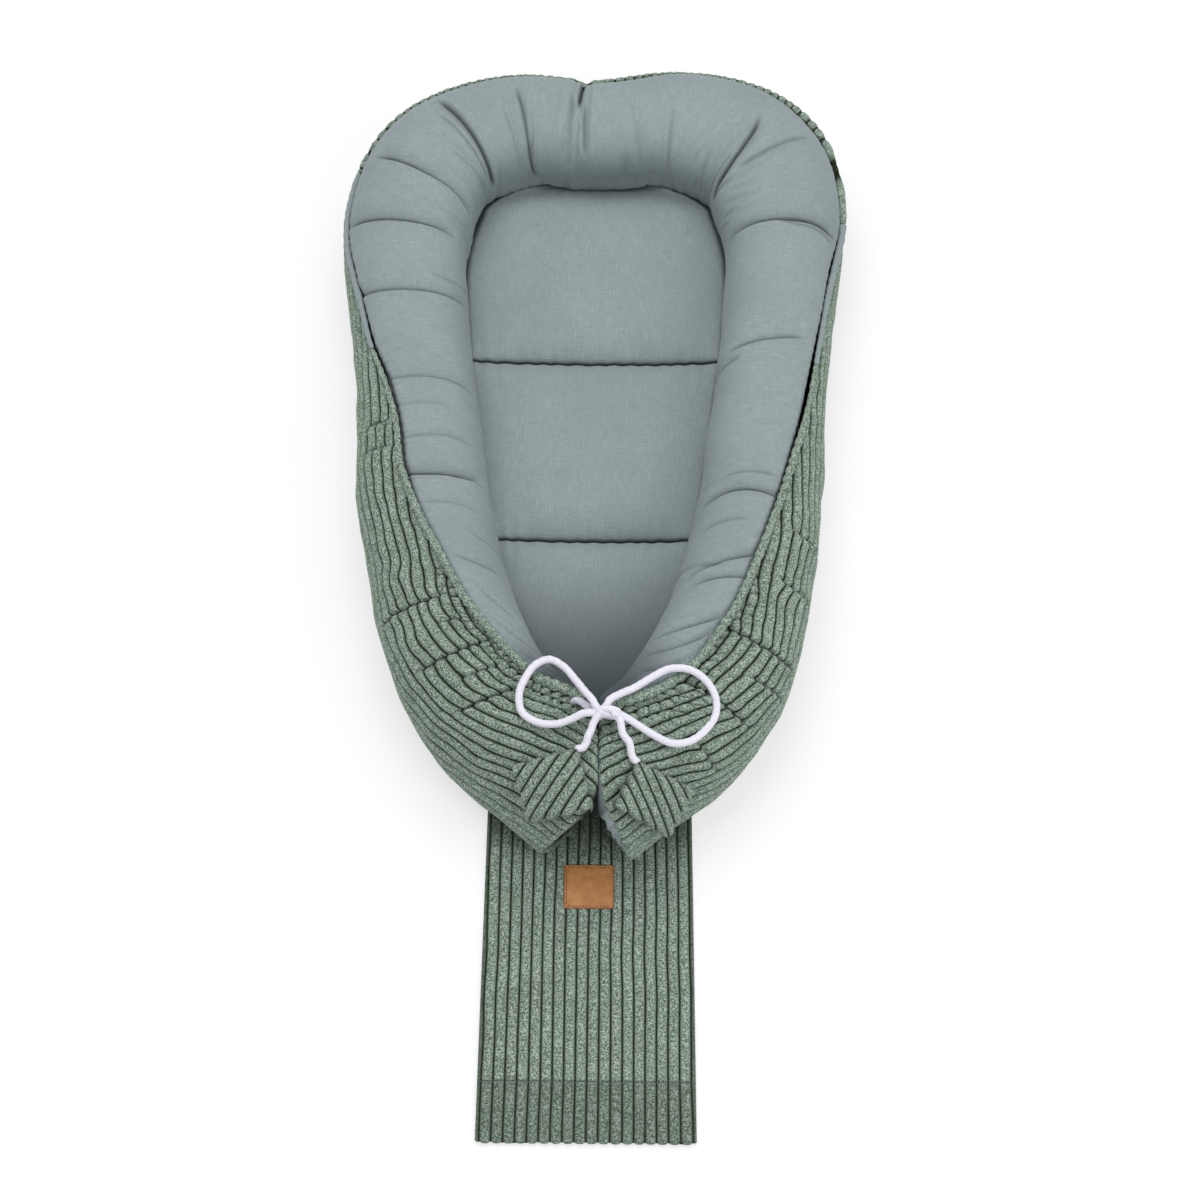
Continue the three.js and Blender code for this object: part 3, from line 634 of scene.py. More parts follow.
def rimPoint(share, angle, grow):
    # a rounded square of half width and height, pushed out by grow, cut flat below, leaning on the legs
    share, angle, grow = np.broadcast_arrays(share, angle, grow)
    value, ahead = rimAt(share)
    x, y, wide, tall, lift, lean = (value[..., k] for k in range(6))
    lift = np.maximum(lift, 0)
    across, upward = np.cos(np.radians(angle)), np.sin(np.radians(angle))
    nearTuck = np.maximum(0, 1 - np.abs(share - rim["tuckShare"]) / rim["tuckHalfShare"])
    grow = grow + swelling(share, angle)
    pushed = grow - rim["tuckDepth"] * nearTuck * np.maximum(0, upward)
    reach = squareReach(across, upward, rim["sectionPower"])
    up = (tall + pushed) * upward * reach
    out = (wide + pushed) * across * reach - lean * (up / tall)
    level = np.maximum(tall + lift - rim["flat"] + up, np.maximum(lift - grow, rim["leastLevel"]))
    x, y = x - ahead[..., 1] * out, y + ahead[..., 0] * out
    side = np.sign(share - rimMiddle)
    least = np.maximum(rim["partingGap"] - grow, rim["leastParting"])
    isPast = isLeg(share) & ((x - rim["partingPlane"]) * side < least)
    x = np.where(isPast, rim["partingPlane"] + side * least, x)
    return partingRounded(stacked(x, y, level), isLeg(share))


def partingRounded(points, onLeg):
    # the legs' cloth curves down, as a quarter of a circle, where it meets the parting line
    near = np.clip(np.abs(points[..., 0] - rim["partingPlane"]) / rim["partingRound"], 0, 1)
    atTop = smoothStep(rim["roundFrom"], rim["roundTo"], points[..., 2])
    drop = rim["partingRound"] * (1 - np.sqrt(1 - (1 - near)**2)) * atTop
    return points - stacked(0, 0, np.where(onLeg, drop, 0))


def onOwnSide(points, end):
    # keeps a leg's end on its own side of the parting line
    side = 1 if end else -1
    clear = np.maximum((points[..., 0] - rim["partingPlane"]) * side, rim["leastGap"])
    return stacked(clear * side + rim["partingPlane"], points[..., 1], points[..., 2])


# For the left leg's end (0) and the right leg's (1), as (angle round it, metres): how far the cloth reaches
# past the CAD's end, how far short of that the corduroy stops, and how far past it the cotton face reaches
reaches = {
    0: [(-93, 0.004), (-45, 0.002), (-30, 0.004), (-15, 0.010), (0, 0.015), (15, 0.020), (30, 0.024),
        (60, 0.023), (75, 0.018), (95, 0.012), (150, 0.010), (200, 0.010), (240, 0.006), (267, 0.004)],
    1: [(-93, 0.004), (-60, 0.004), (-45, 0.006), (-30, 0.014), (-15, 0.020), (0, 0.023), (15, 0.022),
        (30, 0.021), (45, 0.020), (60, 0.013), (75, 0.003), (90, 0), (240, 0), (267, 0.004)],
}
trims = {
    0: [(-93, 0), (267, 0)],
    1: [(-30, 0), (-15, 0.003), (0, 0.006), (15, 0.0055), (30, 0.0045), (45, 0.007), (60, 0.009),
        (70, 0.005), (80, 0)],
}
faceReaches = {
    0: [(0, -0.003)],
    1: [(-93, 0.0015), (-30, 0.002), (-15, 0.003), (0, 0.004), (15, 0.008), (45, 0.010), (75, 0.008),
        (90, 0.0015)],
}


def roundEnd(table, angle, end):
    # the table's amount at an angle, counted from the cover's lowest edge
    return tableAt(table[end], (angle - rim["coverAngle"]) % 360 + rim["coverAngle"])


def endAhead(end):
    # the way the cloth goes on past a leg's end
    return np.append(rimAt(np.array(float(end)))[1], 0) * (1 if end else -1)


legEnds = ((0, 0), (1, -1))


def withRows(grids, rows, end):
    # the grids with more rows, before their first row or after their last
    pairs = zip(grids, rows)
    return [np.concatenate([grid, extra] if end else [extra[::-1], grid]) for grid, extra in pairs]


def longerEnds(points, uv, depthAndPaintedShade, beyond, step, stretch):
    # rows in even steps that carry each end straight on by its reach; stretch is the UV's change per metre
    for end, row in legEnds:
        count = max(2, round(beyond[end].max() / step))
        further = np.linspace(0, 1, count + 1)[1:, None] * beyond[end]
        rows = partingRounded(onOwnSide(points[row] + further[..., None] * endAhead(end), end), True)
        extra = rows, uv[row] + further[..., None] * stretch[end], np.repeat(depthAndPaintedShade[row][None], count, axis=0)
        points, uv, depthAndPaintedShade = withRows((points, uv, depthAndPaintedShade), extra, end)
    return points, uv, depthAndPaintedShade


def centreLine(share):
    value = rimAt(share)[0]
    return stacked(value[..., 0], value[..., 1], value[..., 3] + np.maximum(value[..., 4], 0))


def centreRows(points, share):
    # the rim's centre for each row of a grid that may go on past both of its ends
    middles = centreLine(share)
    extra = len(points) - len(middles)
    return np.concatenate([np.repeat(middles[:1], extra // 2, axis=0), middles,
                           np.repeat(middles[-1:], extra - extra // 2, axis=0)])[:, None]


def spacedShares(parts):
    # shares of the rim's length in even steps of each part: (from, to, step in metres)
    runs = [np.linspace(low, high, max(2, round((high - low) * rim["length"] / step)), endpoint=False)
            for low, high, step in parts]
    return np.append(np.concatenate(runs), parts[-1][1])


def lineAt(line, angle):
    # the share of a crease at an angle: the parabola that comes closest to the line's points
    angles, shares = np.array(line, float).T
    held = np.clip(angle, angles[0] - 6, angles[-1] + 6) - angles.mean()
    return np.polyval(np.polyfit(angles - angles.mean(), shares, min(2, len(angles) - 1)), held)


def fadedEnds(line, angle, outside, inside):
    # 1 along a crease, down to 0 at degrees outside its ends, from degrees inside them
    first, last = line[0][0], line[-1][0]
    return (smoothStep(first - outside, first + inside, angle)
            * smoothStep(last + outside, last - inside, angle))


def creasesAndShade(share, angle, creases):
    # each crease is its depth, its narrow and its wide side in metres, and a line of (angle, share) points;
    # it deepens smoothly from its ends and falls off on both sides, and its bottom gets painted shade
    depthAndPaintedShade = np.zeros(np.broadcast_shapes(share.shape, angle.shape))
    dark = depthAndPaintedShade.copy()
    for depth, narrow, wide, line in creases:
        away = (share - lineAt(line, angle)) * rim["length"]
        fade = fadedEnds(line, angle, 4, 14)
        width = np.where(away > 0, wide, narrow)
        swell = 0.30 * bell((np.abs(away) - 2.6 * width) / (1.5 * width))
        depthAndPaintedShade += 1.25 * depth * fade * (swell - np.exp(-np.abs(away) / width))
        bottom = bell(away / (0.0010 + 0.15 * depth)) + 0.28 * np.exp(-np.abs(away) / (0.8 * width))
        dark = np.maximum(dark, bottom * fade * np.clip((depth - 0.0010) / 0.0040, 0, 1))
    return depthAndPaintedShade, 0.9 * np.minimum(dark, 1)


def runLengths(points):
    # distance along each row of a grid, from its first column
    steps = np.linalg.norm(np.diff(points, axis=1), axis=-1)
    return np.hstack([np.zeros((len(points), 1)), np.cumsum(steps, axis=1)])


# Corduroy outside

cover = {
    "ribPitch": 0.0110, "ribHeight": 0.0040, "ribPower": 3.3, "seamGap": 0.8, "bottomShare": 0.30,
    "alongSteps": [(0, 0.13, 0.0011), (0.13, 0.29, 0.0014), (0.29, 0.71, 0.0023), (0.71, 0.87, 0.0014),
                   (0.87, 1, 0.0011)],
    "columns": 180, "legShares": (0.35, 0.65), "lumps": 0.0016, "wave": 0.0008, "endStep": 0.0018,
    "frill": [(0, 0), (0.28, 0), (0.32, 0.0040), (0.40, 0.0040), (0.43, 0.0026), (0.47, 0.0030),
              (0.49, 0.0050), (0.51, 0.0034), (0.56, 0.0040), (0.60, 0.0062), (0.67, 0.0062), (0.71, 0),
              (1, 0)],
    "gatherPitch": 0.0105, "gatherDepth": 0.0018, "gatherReach": 0.009, "frillReach": 0.007,
    "pinchPitch": 0.0105, "pinchDepth": 0.0042, "pinchReach": 0.021, "pinchLegShares": (0.135, 0.865),
    # near the knot: the share in the middle of it, its spread, and how far the beads reach there
    "knotPinch": (0.948, 0.020, 0.056),
    "jog": 0.34, "jogReach": 0.014, "scallop": 0.0030, "past": 0.0016,
    "underFrom": -62, "underTo": -84, "underDepth": 0.0008,
    # the lip at a leg's end: its radius, its turns in degrees and its reach inward, and for each of its rows
    # how many ribs further along the cloth it is and how much painted shade it has
    "lip": 0.0042, "lipTurns": (22, 45, 68, 90), "lipReach": 0.011, "lipAlong": (0.15, 0.3, 0.45, 0.6, 1.6),
    "lipDark": (0, 0, 0.1, 0.35, 0.8),
    # folds across the ribs: depth, width, and a line of angles round the rim and shares along it
    "folds": [
        (0.0046, 0.0013, [(20, 0.1188), (30, 0.1186), (44, 0.1174), (63, 0.1178), (84, 0.1170)]),
        (0.0048, 0.0013, [(36, 0.0852), (50, 0.0848), (64, 0.0841), (75, 0.0838), (90, 0.0835),
                          (104, 0.0842)]),
        (0.0046, 0.0014, [(38, 0.0600), (51, 0.0580), (68, 0.0546), (92, 0.0502)]),
        (0.0036, 0.0012, [(70, 0.1022), (82, 0.1017), (96, 0.1006)]),
        (0.0020, 0.0014, [(34, 0.2130), (50, 0.2130), (64, 0.2108)]),
        (0.0026, 0.0014, [(30, 0.2262), (46, 0.2270), (64, 0.2266)]),
        (0.0030, 0.0013, [(60, 0.0700), (76, 0.0688), (95, 0.0680)]),
        (0.0048, 0.0014, [(8, 0.8996), (40, 0.9020), (64, 0.9038), (87, 0.9004)]),
        (0.0046, 0.0014, [(22, 0.9370), (36, 0.9375), (68, 0.9383), (84, 0.9390)]),
        (0.0032, 0.0013, [(5, 0.9150), (30, 0.9180), (52, 0.9205)]),
        (0.0030, 0.0013, [(10, 0.9560), (26, 0.9572), (44, 0.9566)]),
        (0.0032, 0.0013, [(5, 0.8640), (30, 0.8650), (60, 0.8640)]),
        (0.0028, 0.0013, [(0, 0.8330), (25, 0.8345), (55, 0.8330)]),
    ],
}


def ribRidge(phase):
    # a rib's rounded top: 1 along its middle, 0 in the grooves beside it
    return 1 - fromMiddle(phase)**cover["ribPower"]


def gatherWave(share):
    # gathers along the seam: humps of uneven length, from 0 between two of them to 1 on top
    run = share * rim["length"] / cover["gatherPitch"]
    run = run + 0.45 * cloudy(run * 0.31, 0, 11) + 0.3 * cloudy(run * 0.83, 0, 12)
    return np.abs(np.sin(np.pi * run))**0.7


def flatCloth(share, run):
    # where a point lies in the corduroy's flat cut, whose ribs run along Y: out from the centre line by its
    # distance round the rim; along a leg, whose cloth follows the bend, the centre line counts as straight
    low, high = cover["legShares"]
    held = np.clip(share, low, high)
    value, ahead = rimAt(held)
    past = np.abs(share - held) * rim["length"]
    x = value[..., 0] - ahead[..., 1] * run
    y = value[..., 1] + ahead[..., 0] * run - past
    return x, y


def foldedCloth(share, angle, phase):
    # folds across the ribs: a groove that widens between ribs, so that their ends look rounded, a jog of the
    # ribs beyond it, which dies away, and how much painted shade its bottom gets
    across = fromMiddle(phase)
    depthAndPaintedShade, jog, dark = 0 * phase, 0 * phase, 0 * phase
    for depth, width, line in cover["folds"]:
        away = (share - lineAt(line, angle)) * rim["length"] + 0.0010 * cloudy(phase * 1.3, 0, 17)
        fade = fadedEnds(line, angle, 5, 12)
        spread = width * (0.75 + 1.1 * across**2)
        depthAndPaintedShade -= depth * fade * np.exp(-(np.abs(away) / spread)**1.6)
        depthAndPaintedShade += 0.24 * depth * fade * bell((np.abs(away) - 0.0050) / 0.0035)
        beyond = smoothStep(-0.0009, 0.0009, away)
        jog += cover["jog"] * fade * np.exp(-np.maximum(away, 0) / cover["jogReach"]) * beyond
        dark = np.maximum(dark, fade * np.clip(depth / 0.0044, 0, 1) * bell(away / (0.62 * spread)))
    return depthAndPaintedShade, jog, dark


def coverColumns(share, columns):
    # angles from the bottom edge, in wider steps there, up to the seam
    top = seamAngle(share) - cover["seamGap"]
    steps = np.linspace(0, 1, columns)
    steps = steps - cover["bottomShare"] * np.sin(np.pi * steps) * (1 - steps) / np.pi
    return rim["coverAngle"] + (top - rim["coverAngle"])[:, None] * steps[None]


def ribPhase(share, run):
    # which rib a point of the cover lies on, and how far along it, in rib widths
    flatX, flatY = flatCloth(share, run)
    bend = (0.25 * cloudy(flatX * 20, flatY * 15, 3) + 0.22 * cloudy(flatX * 26, flatY * 44, 4)
            + 0.07 * cloudy(flatX * 90, flatY * 90, 7))
    return flatX / cover["ribPitch"] + 0.5 + bend, flatY / cover["ribPitch"]


def knotBeads(rib, along):
    # the pile pinched into beads along each rib: 0 on top of a bead to -1 between two of them
    beads = along * cover["ribPitch"] / cover["pinchPitch"] + 5 * hashed(np.floor(rib), 0, 2)
    return -fromMiddle(beads + 0.35 * cloudy(rib, along, 5))**3.2


def coverSurface(share, angle):
    # points, UV, ridges and painted shade for rows of shares and columns of angles
    share = share[:, None]
    run = runLengths(rimPoint(share, angle, 0.0))
    fromSeam = run[:, -1:] - run
    rib, along = ribPhase(share, run)
    folds, jog, dark = foldedCloth(share, angle, rib)
    rib = rib + jog
    ridge = ribRidge(rib)
    low, high = cover["pinchLegShares"]
    onLegs = smoothStep(low + 0.02, low - 0.01, share) + smoothStep(high - 0.02, high + 0.01, share)
    middle, spread, far = cover["knotPinch"]
    reach = cover["pinchReach"] + (far - cover["pinchReach"]) * bell((share - middle) / spread)
    pinch = knotBeads(rib, along)
    atEdge = bell(fromSeam / reach) * onLegs
    frill = tableAt(cover["frill"], share) * np.exp(-fromSeam / cover["frillReach"])
    gathers = gatherWave(share)
    # outward: ribs, lumps, the cloth's wave, folds, the frill's and the seam's gathers, the beads' pinches
    grow = (cover["ribHeight"] * (ridge - 0.80) + cover["lumps"] * cloudy(share * 46, run * 22, 6)
            + cover["wave"] * cloudy(rib, along * 0.6, 9) + folds + frill * (gathers - 0.45)
            + cover["gatherDepth"] * (gathers - 1) * np.exp(-fromSeam / cover["gatherReach"])
            + cover["pinchDepth"] * pinch * atEdge)
    # painted shade between the pinched beads and along the seam
    pinched = 0.9 * np.clip(-2.2 * pinch - 1.2, 0, 1) * np.clip(1.6 * atEdge - 0.3, 0, 1)
    dark = np.maximum(np.maximum(dark, pinched), 0.85 * bell(fromSeam / 0.0016))
    underneath = smoothStep(cover["underFrom"], cover["underTo"], angle)
    grow = grow * (1 - underneath) - cover["underDepth"] * underneath
    return rimPoint(share, angle, grow), stacked(rib, along), ridge, dark


def turnedIn(last, middles, reach, end):
    # the rows of a lip, which curves in by a quarter of a circle and goes on toward the rim's centre
    ahead = endAhead(end)
    toward = unit(middles + reach[:, None] * ahead - last)
    rows = [last + ahead * cover["lip"] * math.sin(turn) + toward * cover["lip"] * (1 - math.cos(turn))
            for turn in np.radians(cover["lipTurns"])]
    return np.array([onOwnSide(line, end) for line in rows + [rows[-1] + toward * cover["lipReach"]]])


def makeCover():
    share = spacedShares(cover["alongSteps"])
    angle = coverColumns(share, cover["columns"])
    points, uv, ridge, depthAndPaintedShade = coverSurface(share, angle)
    middles = centreLine(share)
    # the cloth goes on past each leg's end, further on the ribs than between them, and is turned in there
    beyond = [roundEnd(reaches, angle[row], end) - roundEnd(trims, angle[row], end)
              + cover["scallop"] * (ridge[row] - 0.5) + cover["past"] for end, row in legEnds]
    alongRibs = np.array([0, -1 / cover["ribPitch"]])
    points, uv, depthAndPaintedShade = longerEnds(points, uv, depthAndPaintedShade, beyond, cover["endStep"], [alongRibs, alongRibs])
    for end, row in legEnds:
        rows = turnedIn(points[row], middles[row], beyond[end], end)
        further = np.array(cover["lipAlong"])[:, None, None] * np.array([0, -1.0])
        # painted shade inside the lip as it turns in
        dark = np.maximum(np.array(cover["lipDark"])[:, None], depthAndPaintedShade[row])
        points, uv, depthAndPaintedShade = withRows((points, uv, depthAndPaintedShade), (rows, uv[row] + further, dark), end)
    mesh = gridMesh("outerCover", points, centreRows(points, share), uv, depthAndPaintedShade=depthAndPaintedShade)
    piece = addPiece("outerCover", mesh, corduroy, "nest")
    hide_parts("outer_cover", "rim_filling")
    print("outer cover:", points.shape[:2])


makeCover()


# Cotton inside

lining = {
    "alongSteps": [(0, 1, 0.00125)], "columns": 104,
    "seamGap": 0.8, "lumps": 0.0018, "gatherDepth": 0.0014, "gatherReach": 0.010, "endStep": 0.002,
    "bedGatherPitch": 0.021, "bedGatherReach": 0.020, "sewnDepth": 0.006, "sewnReach": 0.0035,
    # depth, narrow and wide side, and a line of angles round the rim and shares along it
    "creases": [
        (0.0050, 0.0012, 0.0018, [(20, 0.4888), (50, 0.4886), (84, 0.4886)]),
        (0.0026, 0.0016, 0.0030, [(84, 0.4918), (115, 0.4932), (142, 0.4944)]),
        (0.0016, 0.0016, 0.0030, [(70, 0.4840), (110, 0.4865), (140, 0.4875)]),
        (0.0046, 0.0018, 0.0060, [(30, 0.3412), (47, 0.3408), (81, 0.3387), (113, 0.3350), (142, 0.3325)]),
        (0.0034, 0.0018, 0.0055, [(30, 0.3020), (44, 0.3017), (80, 0.2990), (117, 0.2950), (160, 0.2954)]),
        (0.0020, 0.0018, 0.0045, [(110, 0.3060), (140, 0.3040), (170, 0.3040)]),
        (0.0024, 0.0018, 0.0050, [(55, 0.2500), (91, 0.2508), (127, 0.2450), (150, 0.2440)]),
        (0.0050, 0.0014, 0.0055, [(62, 0.1945), (73, 0.1942), (100, 0.1925), (123, 0.1908), (146, 0.1893)]),
        (0.0020, 0.0016, 0.0040, [(64, 0.2150), (90, 0.2160), (115, 0.2150), (140, 0.2120)]),
        (0.0016, 0.0016, 0.0040, [(58, 0.2330), (90, 0.2345), (120, 0.2320)]),
        (0.0018, 0.0016, 0.0040, [(75, 0.1760), (100, 0.1750), (135, 0.1700)]),
        (0.0022, 0.0016, 0.0040, [(120, 0.1560), (140, 0.1500), (165, 0.1430)]),
        (0.0040, 0.0014, 0.0045, [(112, 0.1200), (124, 0.1083), (131, 0.0938), (150, 0.0850)]),
        (0.0042, 0.0014, 0.0045, [(112, 0.0985), (121, 0.0867), (128, 0.0738), (150, 0.0640)]),
        (0.0038, 0.0014, 0.0040, [(111, 0.0820), (116, 0.0729), (122, 0.0629), (150, 0.0500)]),
        (0.0046, 0.0055, 0.0014, [(64, 0.8192), (85, 0.8168), (103, 0.8146), (130, 0.8221), (150, 0.8300)]),
        (0.0022, 0.0045, 0.0016, [(70, 0.8060), (95, 0.8050), (125, 0.8100)]),
        (0.0020, 0.0045, 0.0016, [(90, 0.8330), (115, 0.8360), (140, 0.8430)]),
        (0.0040, 0.0050, 0.0014, [(74, 0.8529), (92, 0.8580), (110, 0.8633), (138, 0.8733)]),
        (0.0036, 0.0050, 0.0014, [(78, 0.8700), (100, 0.8720), (130, 0.8800)]),
        (0.0038, 0.0045, 0.0014, [(86, 0.8946), (100, 0.9017), (111, 0.9096), (140, 0.9230)]),
        (0.0038, 0.0045, 0.0014, [(87, 0.9042), (98, 0.9129), (107, 0.9221), (140, 0.9360)]),
        (0.0034, 0.0040, 0.0014, [(90, 0.9204), (97, 0.9296), (125, 0.9450)]),
        (0.0046, 0.0018, 0.0060, [(48, 0.3750), (92, 0.3742), (125, 0.3646), (165, 0.3590)]),
        (0.0044, 0.0060, 0.0020, [(55, 0.4150), (96, 0.4154), (127, 0.4221), (172, 0.4213)]),
        (0.0022, 0.0050, 0.0020, [(70, 0.4080), (110, 0.4120), (160, 0.4150)]),
        (0.0034, 0.0020, 0.0045, [(68, 0.4533), (108, 0.4567), (146, 0.4600), (186, 0.4650)]),
        (0.0016, 0.0020, 0.0035, [(90, 0.4430), (130, 0.4460), (160, 0.4470)]),
        (0.0044, 0.0020, 0.0060, [(72, 0.5925), (104, 0.6013), (132, 0.6075), (168, 0.6190)]),
        (0.0024, 0.0020, 0.0060, [(45, 0.6120), (85, 0.6130), (125, 0.6170)]),
        (0.0046, 0.0060, 0.0020, [(34, 0.6630), (60, 0.6600), (90, 0.6595), (115, 0.6608), (158, 0.6640)]),
        (0.0024, 0.0050, 0.0020, [(36, 0.6665), (70, 0.6630), (100, 0.6625)]),
        (0.0032, 0.0050, 0.0018, [(60, 0.7238), (103, 0.7292), (135, 0.7345)]),
        (0.0024, 0.0050, 0.0018, [(118, 0.7380), (150, 0.7420), (175, 0.7440)]),
        (0.0016, 0.0030, 0.0030, [(90, 0.5450), (140, 0.5440), (170, 0.5430)]),
        (0.0014, 0.0030, 0.0030, [(80, 0.5200), (120, 0.5210), (160, 0.5220)]),
        (0.0024, 0.0020, 0.0040, [(98, 0.1420), (120, 0.1350), (150, 0.1290)]),
    ],
    "faintCount": 95, "faintDepth": 0.0010, "faintSeed": 5,
}


def faintCreases():
    # short shallow creases at steady random places, most of them on the inner side of the head's corners
    source = np.random.default_rng(lining["faintSeed"])
    made = []
    while len(made) < lining["faintCount"]:
        middle = source.choice([0.37, 0.63, 0.5, source.uniform(0.1, 0.9)], p=[0.22, 0.22, 0.16, 0.4])
        share = middle + source.normal(0, 0.028)
        start = source.uniform(60, 150)
        reach = source.uniform(30, 75)
        slant = source.normal(0, 0.0035)
        depth = lining["faintDepth"] * source.uniform(0.4, 1.3)
        narrow, wide = source.uniform(0.0014, 0.0024), source.uniform(0.003, 0.006)
        made.append((depth, narrow, wide, [(start, share), (start + reach, share + slant)]))
    return made


def makeLining():
    share = spacedShares(lining["alongSteps"])
    top = seamAngle(share) + lining["seamGap"]
    angle = top[:, None] + (rim["liningAngle"] - top)[:, None] * np.linspace(0, 1, lining["columns"])[None]
    share = share[:, None]
    run = runLengths(rimPoint(share, angle, 0.0))
    fromBed = np.abs(rim["bedAngle"] - angle) * math.radians(1) * rim["halfWidth"]
    bedWave = np.sin(np.pi * share * rim["length"] / lining["bedGatherPitch"] + cloudy(share * 60, 0, 8))
    bedGathers = np.abs(bedWave)**0.8 - 1
    deep, dark = creasesAndShade(share, angle, lining["creases"])
    faint, faintDark = creasesAndShade(share, angle, faintCreases())
    atSeam = np.exp(-run / lining["gatherReach"])
    # outward: lumps, creases, gathers at the seam and at the bed, and the groove where the seam is sewn
    grow = (lining["lumps"] * cloudy(share * 40, run * 20, 9) + deep + faint
            + lining["gatherDepth"] * (gatherWave(share) - 1) * atSeam
            + lining["gatherDepth"] * bedGathers * np.exp(-fromBed / lining["bedGatherReach"])
            - lining["sewnDepth"] * bell(run / lining["sewnReach"]))
    # painted shade in the creases and along the sewn seam
    dark = np.maximum(np.maximum(dark, faintDark), 0.95 * bell(run / 0.0026))
    # in shade low on the inner side near the knot
    toEnd = np.minimum(share, 1 - share)
    dark = np.maximum(dark, 0.78 * smoothStep(0.095, 0.035, toEnd) * smoothStep(90, 122, angle))
    uv = stacked(share * rim["length"], run)
    beyond = [roundEnd(reaches, angle[row], end) for end, row in legEnds]
    ways = [np.array([-1.0, 0]), np.array([1.0, 0])]
    points = rimPoint(share, angle, grow)
    points, uv, dark = longerEnds(points, uv, dark, beyond, lining["endStep"], ways)
    mesh = gridMesh("innerLining", points, centreRows(points, share[:, 0]), uv, depthAndPaintedShade=dark)
    piece = addPiece("innerLining", mesh, cotton, "nest")
    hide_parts("inner_lining")
    print("inner lining:", points.shape[:2])


makeLining()


# Channel along the seam, and the drawcord in it

channel = {
    "radii": [(0, 0.0066), (0.03, 0.0058), (0.06, 0.0046), (0.18, 0.0044), (0.22, 0.0032), (0.27, 0.0026),
              (0.30, 0.0034), (0.37, 0.0034), (0.39, 0.0030), (0.55, 0.0030), (0.58, 0.0042), (0.65, 0.0044),
              (0.67, 0.0036), (0.70, 0.0032), (0.73, 0.0026), (0.76, 0.0026), (0.80, 0.0042), (0.93, 0.0044),
              (0.96, 0.0056), (1, 0.0060)],
    "rises": [(0, 0.0046), (0.03, 0.0042), (0.05, 0.0024), (0.20, 0.0018), (0.26, 0.0002), (0.40, 0.0006),
              (0.55, 0.0006), (0.60, 0.0014), (0.68, 0.0006), (0.73, 0.0002), (0.80, 0.0018), (1, 0.0024)],
    "step": 0.0014, "sides": 16, "lumps": 0.10, "cottonLumps": 0.4, "endsAt": (-0.004, 0.014),
    "cordRadius": 0.0020, "cordRise": -0.0125, "cordSides": 10,
    # name, from and to along the rim, cloth, depth between its beads
    "parts": [("channelLegLeft", 0, 0.270, "corduroy", 0.36), ("channelLeft", 0.270, 0.372, "cotton", 0.20),
              ("channelHead", 0.372, 0.652, "corduroy", 0.50),
              ("channelRight", 0.652, 0.735, "cotton", 0.20),
              ("channelLegRight", 0.735, 1, "corduroy", 0.36)],
}


def channelLine(low, high, rises):
    # the channel's centre between two shares, up to where it ends beside the parting line, and the way out
    share = np.linspace(low, high, int((high - low) * rim["length"] / channel["step"]))
    line = rimPoint(share, seamAngle(share), tableAt(rises, share))
    left, right = channel["endsAt"]
    isKept = np.where(share < rimMiddle, line[:, 0] < left, line[:, 0] > right) | ~isLeg(share)
    share, line = share[isKept], line[isKept]
    return share, line, rimPoint(share, seamAngle(share), 0.08) - line


def makeChannel():
    nodes = ["cord_channel"]
    for name, low, high, cloth, depth in channel["parts"]:
        share, line, outward = channelLine(low, high, channel["rises"])
        isCotton, isHead = cloth == "cotton", name == "channelHead"
        run = runLengths(rimPoint(share[:, None], coverColumns(share, 60), 0.0))[:, -1]
        rib = ribPhase(share, run)[0]
        beads = ribRidge(rib) if isHead else gatherWave(share)
        size = tableAt(channel["radii"], share)
        angle = np.linspace(0, 2 * np.pi, channel["sides"], endpoint=False)
        distance, ends = roundedEnds(line, size.mean() * 0.6)
        # radius: its size there, narrowed between the beads, with lumps and closed ends
        lumps = channel["lumps"] * cloudy(share[:, None] * 420, angle[None] * 1.3, 31)
        swell = (1 - depth * (1 - beads))[:, None] + lumps * (channel["cottonLumps"] if isCotton else 1)
        radius = size[:, None] * swell * np.maximum(ends, 0.15)[:, None]
        grid = tubeGrid(line, radius, channel["sides"], outward)
        turns = np.linspace(0, 1, channel["sides"] + 1)[None]
        distance = distance[:, None]
        if isCotton:
            uv = stacked(distance, turns * 0.03)
        elif isHead:
            uv = stacked(rib[:, None], turns * 2.7)
        else:
            uv = stacked(0.5 + 0.25 * np.sin(2 * np.pi * turns), distance / cover["ribPitch"])
        mesh = gridMesh(name, grid, line[:, None], uv, ringed=True)
        piece = addPiece(name, mesh, cotton if isCotton else corduroy, "nest")
        if nodes:
            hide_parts(nodes.pop())
    share, line, outward = channelLine(0, 1, [(0, channel["cordRise"])])
    distance, ends = roundedEnds(line, channel["cordRadius"])
    radius = (channel["cordRadius"] * ends)[:, None]
    mesh = tubeMesh("channelCord", line, radius, channel["cordSides"], outward, distance)
    piece = addPiece("channelCord", mesh, cordCotton, "nest")
    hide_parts("drawcord")
    print("channel made")


makeChannel()


# End faces of the legs

endFace = {
    "pieces": (("endFaceLeft", "end_cap_left"), ("endFaceRight", "end_cap_right")), "bulges": (0.008, 0.004),
    "rings": 28, "around": 132, "tucks": 31, "tuckDepth": 0.0012, "tuckReach": 0.13, "lumps": 0.0012,
    "sunkIn": -0.0026, "inset": 0.017, "narrowed": 0.02, "radius": 0.06,
}


